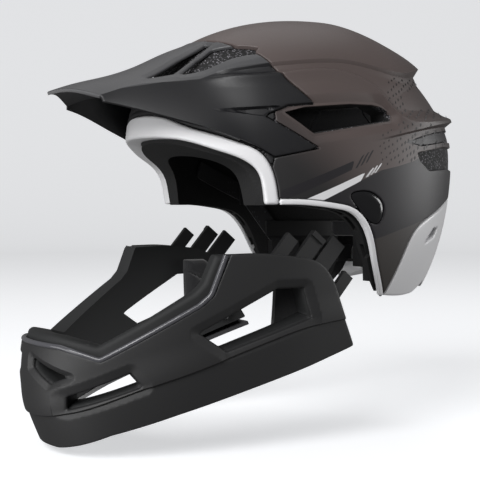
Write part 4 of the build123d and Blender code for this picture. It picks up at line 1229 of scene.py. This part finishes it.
class HELMET_OT_band(bpy.types.Operator):
    """Build the ridged rubber band between visor and face opening"""
    bl_idname = "helmet.band"
    bl_label = "Brow band"

    def execute(self, context):
        form = context.scene.helmet_form
        edge, pitch, tall, sunk, ribs = 0.8, 4.4, 1.3, 1.2, 4
        sheet = window(helmet_sheet(130), (-110, -140, -40), (110, -40, 60))
        area = body_fields(sheet)
        field = every(area["body"], area["band"], -area["face"], -area["visor"]) + form.seam / MM
        sheet["up"] = line_distance(sheet["co"][:, 1:], smooth_line(at(brow_seam_shares)))
        sheet = trim(sheet, field, rings_for(edge))
        sheet["up"] = np.abs(sheet["up"])
        sheet = cut_rows(sheet, {"up": np.arange(pitch / 4, ribs * pitch, pitch / 4)})
        up = sheet["up"]
        relief = tall * np.abs(np.sin(pi * up / pitch)) ** 0.7 * (up < ribs * pitch) - sunk
        points, faces = wall(sheet, form.shell_wall / MM, edge, relief)
        piece = mesh_piece("brow_band_look", points, faces, ribbed_rubber(), 40)
        settle(piece, "helmet", "band", "brow_band")
        return {"FINISHED"}


class HELMET_OT_trims(bpy.types.Operator):
    """Build the white trims: round the face, along each lower edge, and the nape piece"""
    bl_idname = "helmet.trims"
    bl_label = "White trims"

    def execute(self, context):
        form = context.scene.helmet_form
        seam, face_end = form.seam / MM, -40
        # The lower trims get thinner downwards between two heights, to clear the chin guard's tabs
        heights, lower_depths = (-85, -60), (3.2, 4.8)
        sheet = helmet_sheet(150)
        area = body_fields(sheet)
        face = np.where(sheet["co"][:, 1] < face_end, every(area["body"], area["face"]), OUTSIDE) + seam
        lower = every(area["body"], area["lower"], -area["face"], -area["nape"]) + seam
        nape = every(area["body"], area["nape"], -area["notch"]) + seam
        for node, field, depths, roll in (
                ("face_trim", face, [form.face_trim_depth / MM] * 2, 2.4),
                *((f"lower_trim_{name}", one_side(sheet, side, lower), lower_depths, 1.2)
                  for side, name in SIDES),
                ("nape_piece", nape, [form.nape_depth / MM] * 2, 2.2)):
            part = trim(sheet, field, rings_for(roll))
            points, faces = wall(part, np.interp(part["co"][:, 2], heights, depths), roll)
            settle(mesh_piece(f"{node}_look", points, faces, white_abs(), 38), "helmet", "trim", node)
        return {"FINISHED"}


def rod(foot, root, centre, radius, count=24):
    """A closed round rod along x between two places, as points and triangles."""
    turn = np.linspace(0, 2 * pi, count + 1)[:-1]
    ring = np.stack([
        np.zeros(count), centre[0] + radius * np.cos(turn), centre[1] + radius * np.sin(turn)], 1)
    points = np.concatenate([
        ring + [foot, 0, 0], ring + [root, 0, 0], [(foot, *centre), (root, *centre)]])
    i = np.arange(count)
    j = (i + 1) % count
    first, last = np.full(count, 2 * count), np.full(count, 2 * count + 1)
    faces = np.concatenate([
        np.stack([i, j, j + count], 1), np.stack([i, j + count, i + count], 1),
        np.stack([j, i, first], 1), np.stack([i + count, j + count, last], 1)])
    return points, faces if root > foot else faces[:, ::-1]


class HELMET_OT_buttons(bpy.types.Operator):
    """Build the two glossy release buttons with their stems and springs"""
    bl_idname = "helmet.buttons"
    bl_label = "Release buttons"

    def execute(self, context):
        form = context.scene.helmet_form
        roll, leaf_gap, proud, fall = 3.5, 0.15, 0.5, 1.1
        stem_radius, stem_length, overlap = 3.2, 3.6, 1
        inner = form.width / 2 / MM - 10  # the leaf's flat back
        sheet = helmet_sheet(150)
        leaf = outline_distance(sheet["co"][:, 1:], helmet_outlines()["leaf"]) + leaf_gap
        centre = at([button_centre_share])[0]
        for side, name in SIDES:
            part = trim(sheet, one_side(sheet, side, leaf), (roll, 1.8, 0.6))
            edge = np.clip(-part["field"] / roll, 0, 1)
            part["no"] = np.tile([side, 0, 0], (len(edge), 1))
            depth = np.abs(part["co"][:, 0]) - inner
            points, faces = wall(part, depth, 0.0, proud - fall * (1 - edge) ** 2)
            stem, sides = rod(side * (inner - stem_length), side * (inner + overlap), centre, stem_radius)
            piece = mesh_piece(f"release_button_{name}_look", np.concatenate([points, stem]),
                               np.concatenate([faces, sides + len(points)]), gloss_abs(), 40)
            settle(piece, f"{name}_button", "button", f"release_button_{name}")
            self.spring(name, side, centre, inner)
        return {"FINISHED"}

    def spring(self, name, side, centre, inner):
        """Wind the return spring between socket and button."""
        wire, radius, turns, travel, turn_points = 0.5, 4.2, 3, 2, 28
        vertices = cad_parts[f"button_spring_{name}"].data.vertices
        reach = np.abs([vertex.co.x for vertex in vertices]) / MM
        low, high = reach.min() + wire, reach.max() - wire
        along = np.linspace(0, 1, turn_points * turns + 1)
        turn = 2 * pi * turns * along
        path = np.stack([side * (low + (high - low) * along), centre[0] + radius * np.cos(turn),
                         centre[1] + radius * np.sin(turn)], 1)
        piece = tube(f"button_spring_{name}_look", path, wire * MM, bright_steel())
        settle(piece, "helmet", "spring_steel", f"button_spring_{name}")
        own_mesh(piece)


# The chin guard


def chin_grid(inset=0.0, step=2.0):
    """The chin guard's outer surface drawn in by an inset, as a sheet and as rows from top to bottom."""
    form = bpy.context.scene.helmet_form
    top, bottom, length_round = -72, -217.5, 560
    levels = np.array([row[0] for row in chin_slices])[::-1] * form.crown / MM
    arms = [plan_at(row[1:]) for row in chin_slices[::-1]]
    rings = [np.concatenate([arm, arm[-2::-1] * [-1, 1]]) for arm in arms]
    knots = np.linspace(0, 1, len(rings[0]))
    t = np.linspace(0, 1, int(length_round / step))
    lines = np.stack([spline(knots, ring, t) for ring in rings])
    z = np.arange(top, bottom, -step)
    rows = spline(levels, lines.reshape(len(levels), -1), z).reshape(len(z), len(t), 2)
    points = np.concatenate([rows, np.broadcast_to(z[:, None, None], (*rows.shape[:2], 1))], 2)
    sheet = grid_sheet(points)
    sheet["co"] = sheet["co"] - sheet["no"] * inset
    return sheet, points


def docking_line(distance):
    """A step along the docking line, in the side view."""
    angle = bpy.context.scene.chin_form.angle
    return distance / MM * np.array([np.cos(angle), np.sin(angle)])


def chin_edge():
    """The arm's upper edge: the helmet's lower edge, less a gap, as it stands taken off."""
    chin = bpy.context.scene.chin_form
    return helmet_outlines()["edge"] - docking_line(chin.edge_gap) - docking_line(chin.travel)


def chin_ring(top, lift=0.0):
    """The chin guard's outline in the side view, closed along a given top line, its bottom lifted."""
    return np.concatenate([chin_edge(), beside(at(chin_bottom_shares), -lift), at(top)])


def chin_openings(points):
    """Distance to the windows and low slits, and to the vents beside the nose."""
    slit_side, nose_front = 30, -100  # the slits lie outwards of the one, the vents forwards of the other
    side = points[:, 1:]
    gap = outline_distance(side, at(chin_window_shares))
    slit = np.where(np.abs(points[:, 0]) > slit_side, outline_distance(side, at(chin_slit_shares)), OUTSIDE)
    nose = rings_distance(points[:, [0, 2]], [front_at(nose_vent_shares, way) for way, _ in SIDES])
    return np.minimum(gap, slit), np.where(points[:, 1] < nose_front, nose, OUTSIDE)


class HELMET_OT_chin_shell(bpy.types.Operator):
    """Build the chin guard's shell with its windows, slits, nose vents and jaw ridge"""
    bl_idname = "helmet.chin_shell"
    bl_label = "Chin guard shell"

    def execute(self, context):
        chin = context.scene.chin_form
        edge, bevel, step, fade = 1.0, chin.bevel / MM, 1.5, 22
        nose_steepness = 1.6  # the bevel is that much narrower round the nose vents
        sheet, _ = chin_grid()
        openings, nose = chin_openings(sheet["co"])
        side = sheet["co"][:, 1:]
        ring = outline_distance(side, chin_ring(chin_top_shares))
        sheet["bevel"] = np.minimum(openings, nose * nose_steepness)
        sheet["ridge"] = line_distance(side, smooth_line(at(chin_ridge_shares)))
        sheet = cut_rows(trim(sheet, every(ring, -openings, -nose), rings_for(edge)), {
            "bevel": (bevel, bevel / 2), "ridge": (-step, 0, 6)})
        ridge = sheet["ridge"]
        share = np.where(ridge > 0, 1 - ease(ridge, 0, fade), np.clip(1 + ridge / step, 0, 1))
        lift = chin.ridge / MM * share
        lift -= chin.bevel_drop / MM * np.clip(1 - sheet["bevel"] / bevel, 0, 1)
        points, faces = wall(sheet, chin.wall / MM, edge, lift)
        piece = mesh_piece("chin_shell_look", points, faces, chin_abs(), 26)
        settle(piece, "chin_guard", "chin_shell", "chin_shell")
        return {"FINISHED"}


class HELMET_OT_chin_edges(bpy.types.Operator):
    """Build the glossy piping on the chin guard and the padded foam inside it"""
    bl_idname = "helmet.chin_edges"
    bl_label = "Chin guard piping and foam"

    def execute(self, context):
        chin = context.scene.chin_form
        piece = tube("chin_piping_look", self.piping_path(), chin.piping, piping_painted_highlight())
        settle(piece, "chin_guard", "piping", "chin_piping")

        gap, lip, lift, roll = 0.3, 1, 3, 4.0
        sheet, _ = chin_grid(chin.wall / MM + gap)
        openings, nose = chin_openings(sheet["co"])
        ring = outline_distance(sheet["co"][:, 1:], chin_ring(foam_top_shares, lift))
        sheet = trim(sheet, every(ring, -openings - lip, -nose - lip) + gap, rings_for(roll))
        points, faces = wall(sheet, chin.foam / MM, roll)
        piece = mesh_piece("chin_liner_look", points, faces, skinned_foam(), 40)
        settle(piece, "chin_guard", "impact_foam", "chin_liner")
        return {"FINISHED"}

    def piping_path(self):
        """Follow the shell's top edge from arm to arm, a little inwards of it and above it."""
        inwards, reach = 1.4, 3
        _, grid = chin_grid(step=1.5)
        top = at(chin_top_shares + [(-0.775, -0.775)])
        y, z = top.T
        above = grid[..., 2] - np.interp(grid[..., 1], y, z)
        found = (above[:-1] > 0) & (above[1:] <= 0)
        path = []
        for column in np.flatnonzero(found.any(0)):
            row = found[:, column].argmax()
            share = above[row, column] / (above[row, column] - above[row + 1, column])
            spot = grid[row, column] + share * (grid[row + 1, column] - grid[row, column])
            if spot[1] < y[-1]:
                path.append(spot)
        path = np.array(path)
        inward = (path.mean(0) - path) * [1, 1, 0]
        behind, ahead = (np.interp(path[:, 1] + step, y, z) for step in (reach, -reach))
        up = np.stack([np.zeros(len(path)), ahead - behind, np.full(len(path), 2.0 * reach)], 1)
        path = path + inward / np.linalg.norm(inward, axis=1)[:, None] * inwards \
            + up / np.linalg.norm(up, axis=1)[:, None]
        path[1:-1] = (path[:-2] + 2 * path[1:-1] + path[2:]) / 4
        return path


# Pads and straps


def pillow(name, sheet, field, depth, edge, body, flat=(1, 2), channels=None):
    """A padded piece on a surface, crowned towards the side that the surface faces."""
    low, crown = 0.3, 0.7  # shares of the depth at the edge and above it
    channel, channel_width = 0.35, 1.6
    part = trim(sheet, field, rings_for(edge))
    inside = np.minimum(-part["field"], edge)
    swell = np.sqrt(np.maximum(1 - (1 - inside / edge) ** 2, 0))
    tall = depth * (low + crown * swell)
    if channels is not None:
        tall -= channel * depth * np.exp(-(channels(part["co"]) / channel_width) ** 2)
    points, faces = wall(part, 0.0, 0.0, tall)
    piece = mesh_piece(f"{name}_look", points, faces, knit_cloth(), 60)
    lay_flat(piece, flat)
    settle(piece, body, "padding", name)


def lay_flat(piece, axes):
    """Give a piece its flat map, in metres, from two of its axes."""
    layer = piece.data.uv_layers.new(name="flat")
    index = np.empty(len(piece.data.loops), int)
    piece.data.loops.foreach_get("vertex_index", index)
    points = np.empty(len(piece.data.vertices) * 3)
    piece.data.vertices.foreach_get("co", points)
    layer.data.foreach_set("uv", points.reshape(-1, 3)[index][:, list(axes)].ravel().astype(np.float32))


def side_ring(low, high):
    """A rectangle in the side view from two corners in shares."""
    (y0, z0), (y1, z1) = at([low, high])
    return np.array([(y0, z0), (y1, z0), (y1, z1), (y0, z1)])


class HELMET_OT_pads(bpy.types.Operator):
    """Build the comfort pads of the helmet and the chin guard's cheek pads"""
    bl_idname = "helmet.pads"
    bl_label = "Pads"

    def execute(self, context):
        cave, chin = context.scene.cavity_form, context.scene.chin_form
        depth, edge, level = cave.pad / MM - 0.2, 4.5, 0
        # Places of the sewn channels: sideways at the brow, along at the rear and crown, and slanting at
        # the cheeks
        brow_channel, rear_channel, crown_middle, crown_channel = 26, 58, 8, 24
        cheek_slant, cheek_channel, cheek_gap, cheek_edge = 0.55, 131, 0.7, 7
        sheet = cavity_sheet(cave.gap / MM + 0.1, 110)
        points = sheet["co"]
        brow, rear = (outline_distance(points[:, 1:], side_ring(*corners))
                      for corners in (brow_pad_corners, rear_pad_corners))
        pillow("brow_pad", sheet, brow, depth, edge, "helmet", (0, 2),
               lambda p: np.abs(np.abs(p[:, 0]) - brow_channel))
        for way, name in SIDES:
            pillow(f"rear_pad_{name}", sheet, one_side(sheet, way, rear), depth, edge, "helmet", (1, 2),
                   lambda p: np.abs(p[:, 1] - rear_channel))
        crown = rings_distance(points[:, :2], [
            plan_at(crown_pad_shares), *(plan_at(crown_side_pad_shares, way) for way, _ in SIDES)])
        pillow("crown_pads", sheet, np.where(points[:, 2] > level, crown, OUTSIDE), depth, edge, "helmet",
               (0, 1), lambda p: np.abs(np.abs(p[:, 1] - crown_middle) - crown_channel))

        gap, cradle, clearance, pad_depth, pad_edge = 3, 2.5, 0.4, 3.6, 2.5
        nape_level, half_height, half_width, rear_start = -64.5, 6.5, 50, 20
        sheet = cavity_sheet(gap + cradle + clearance, 110)
        x, y, z = sheet["co"].T
        nape = np.maximum(np.abs(z - nape_level) - half_height, np.abs(x) - half_width)
        nape = np.where(y > rear_start, nape, OUTSIDE)
        pillow("nape_pad", sheet, nape, pad_depth, pad_edge, "helmet", (0, 2))

        sheet, _ = chin_grid(chin.wall / MM + cheek_gap + chin.foam / MM)
        sheet = dict(sheet, faces=sheet["faces"][:, ::-1], no=-sheet["no"])
        cheek = outline_distance(sheet["co"][:, 1:], at(cheek_pad_shares))
        for way, name in SIDES:
            pillow(f"cheek_pad_{name}", sheet, one_side(sheet, way, cheek), cave.cheek / MM - 0.4,
                   cheek_edge, "chin_guard", (1, 2),
                   lambda p: np.abs(p[:, 2] + cheek_slant * p[:, 1] + cheek_channel))
        return {"FINISHED"}


class HELMET_OT_straps(bpy.types.Operator):
    """Build the chin strap's webbing and its rows of stitches"""
    bl_idname = "helmet.straps"
    bl_label = "Straps"

    def execute(self, context):
        gap, depth, half_width = 0.45, 1.3, 7
        stitch, row_offset, pitch, first, last = (0.8, 2.0, 0.5), 4.5, 2.6, 13, 24
        front, rear, slider, tail = at(strap_shares)
        sheet = cavity_sheet(gap, 150)
        flat = rings_distance(sheet["co"][:, 1:], [
            np.concatenate([beside(np.array([a, b]), half_width), beside(np.array([b, a]), half_width)])
            for a, b in ((front, slider), (rear, slider), (slider, tail))])
        spots, ways = [], []
        for way, name in SIDES:
            part = trim(sheet, one_side(sheet, way, flat), (0.5,))
            points, faces = wall(part, 0, 0.0, depth)
            piece = mesh_piece(f"strap_{name}_look", points, faces, woven_webbing(), 50)
            lay_flat(piece, (1, 2))
            settle(piece, "helmet", "webbing", f"strap_{name}")
            for end in (front, rear, tail):
                run = (end - slider) / np.linalg.norm(end - slider)
                for along in np.arange(first, last, pitch):
                    for off in (-row_offset, row_offset):
                        spot = slider + run * along + off * np.array([-run[1], run[0]])
                        near = ((part["co"][:, 1:] - spot) ** 2).sum(1).argmin()
                        spots.append(part["co"][near] + part["no"][near] * depth)
                        ways.append(part["no"][near])
        marks("strap_stitches", spots, ways, np.ones(len(spots)), pale_thread(), stitch, "helmet", "webbing")
        return {"FINISHED"}


class HELMET_OT_hardware(bpy.types.Operator):
    """Give the kept parts their moulded and foamed finishes"""
    bl_idname = "helmet.hardware"
    bl_label = "Hardware finishes"

    def execute(self, context):
        nylon = (
            "socket_left", "socket_right", "prong_frame_left", "prong_frame_right", "strap_anchors",
            "strap_sliders", "buckle_socket", "buckle_prong", "dial_housing", "dial_pinion", "rack_left",
            "rack_right", "fit_cradle",
        )
        for make, names in ((bead_foam, ["eps_liner"]), (glass_nylon, nylon), (ribbed_rubber, ["fit_dial"]),
                            (lip_rubber, ["chin_lip"])):
            for name in names:
                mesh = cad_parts[name].data
                for index in range(len(mesh.materials)):
                    mesh.materials[index] = make()
        return {"FINISHED"}


# Lamps: name, place and size in metres, power in watts
lamps = (
    ("key", (1.0, -1.6, 1.1), 1.2, 44),
    ("front", (0.1, -1.8, -0.3), 1.0, 14),
    ("top", (-0.7, 0.3, 1.5), 1.2, 4.5),
    ("rim", (0.8, 1.8, 0.1), 0.9, 18),
)


def backdrop_sheet():
    """A round floor that turns up into a wall: a profile in metres, turned round the middle."""
    radius, bend, top, steps, floor_z = 3.0, 1, 3.5, 96, -219.3
    profile = [(radius, 0)]
    profile += [(radius + bend * np.sin(a), bend - bend * np.cos(a)) for a in np.linspace(0.1, pi / 2, 12)]
    profile += [(radius + bend, top)]
    turn = np.linspace(0, 2 * pi, steps + 1)[:-1]
    points, faces = [(0, 0, floor_z)], []
    for far, height in profile:
        points += [(far / MM * np.cos(a), far / MM * np.sin(a), floor_z + height / MM) for a in turn]
    for k in range(steps):
        n = (k + 1) % steps
        faces.append((0, 1 + k, 1 + n))
        for row in range(len(profile) - 1):
            a, b = 1 + row * steps, 1 + (row + 1) * steps
            faces += [(a + k, b + k, b + n), (a + k, b + n, a + n)]
    return np.array(points), np.array(faces)


class HELMET_OT_stage(bpy.types.Operator):
    """Set the floor, the soft light and the camera"""
    bl_idname = "helmet.stage"
    bl_label = "Stage"

    def execute(self, context):
        studio = context.scene.studio
        glow, world_light, sensor = 0.75, 0.16, 36
        paper = finish("backdrop_paper", studio.floor[:], 0.9, Emission_Color=(*studio.floor, 1),
                       Emission_Strength=glow)
        floor = mesh_piece("backdrop", *backdrop_sheet(), paper, 60)
        floor.visible_diffuse = floor.visible_shadow = floor.visible_glossy = False

        world = context.scene.world or bpy.data.worlds.new("studio")
        context.scene.world = world
        world.use_nodes = True
        light = world.node_tree.nodes["Background"]
        light.inputs["Color"].default_value = (1, 1, 1, 1)
        light.inputs["Strength"].default_value = world_light
        aim = Vector(studio.aim)
        for name, spot, size, power in lamps:
            data = bpy.data.lights.new(name, "AREA")
            data.size, data.energy = size, power
            self.place(context, name, data, Vector(spot), aim)
        data = bpy.data.cameras.new("camera")
        data.lens, data.sensor_width = studio.lens, sensor
        flat = np.cos(studio.elevation)
        away = Vector((np.sin(studio.azimuth) * flat, -np.cos(studio.azimuth) * flat,
                       np.sin(studio.elevation)))
        context.scene.camera = self.place(context, "camera", data, aim + away * studio.distance, aim)
        context.scene.view_settings.view_transform = "Standard"
        return {"FINISHED"}

    def place(self, context, name, data, spot, aim):
        """Set a lamp or the camera at a spot, looking at another."""
        made = bpy.data.objects.new(name, data)
        made.location = spot
        made.rotation_euler = (aim - spot).to_track_quat("-Z", "Y").to_euler()
        context.scene.collection.objects.link(made)
        return made


class HELMET_PT_panel(bpy.types.Panel):
    """Buttons that build the helmet's pieces"""
    bl_label = "Helmet"
    bl_space_type = "VIEW_3D"
    bl_region_type = "UI"
    bl_category = "Helmet"

    def draw(self, context):
        for operator in operators:
            self.layout.operator(operator.bl_idname)


groups = {
    "helmet_form": HelmetForm, "cavity_form": CavityForm, "chin_form": ChinForm,
    "helmet_paint": HelmetPaint, "studio": Studio,
}
operators = (
    HELMET_OT_shell, HELMET_OT_visor, HELMET_OT_band, HELMET_OT_trims, HELMET_OT_buttons,
    HELMET_OT_chin_shell, HELMET_OT_chin_edges, HELMET_OT_pads, HELMET_OT_straps, HELMET_OT_hardware,
    HELMET_OT_stage,
)


def register():
    """Add the property groups, the operators and the panel."""
    for name, group in groups.items():
        bpy.utils.register_class(group)
        setattr(bpy.types.Scene, name, bpy.props.PointerProperty(type=group))
    for operator in operators:
        bpy.utils.register_class(operator)
    bpy.utils.register_class(HELMET_PT_panel)


def unregister():
    """Remove them again."""
    bpy.utils.unregister_class(HELMET_PT_panel)
    for operator in reversed(operators):
        bpy.utils.unregister_class(operator)
    for name, group in groups.items():
        delattr(bpy.types.Scene, name)
        bpy.utils.unregister_class(group)


def main():
    """Build every piece in order."""
    register()
    for operator in operators:
        family, name = operator.bl_idname.split(".")
        getattr(getattr(bpy.ops, family), name)()


if __name__ == "__main__":
    main()
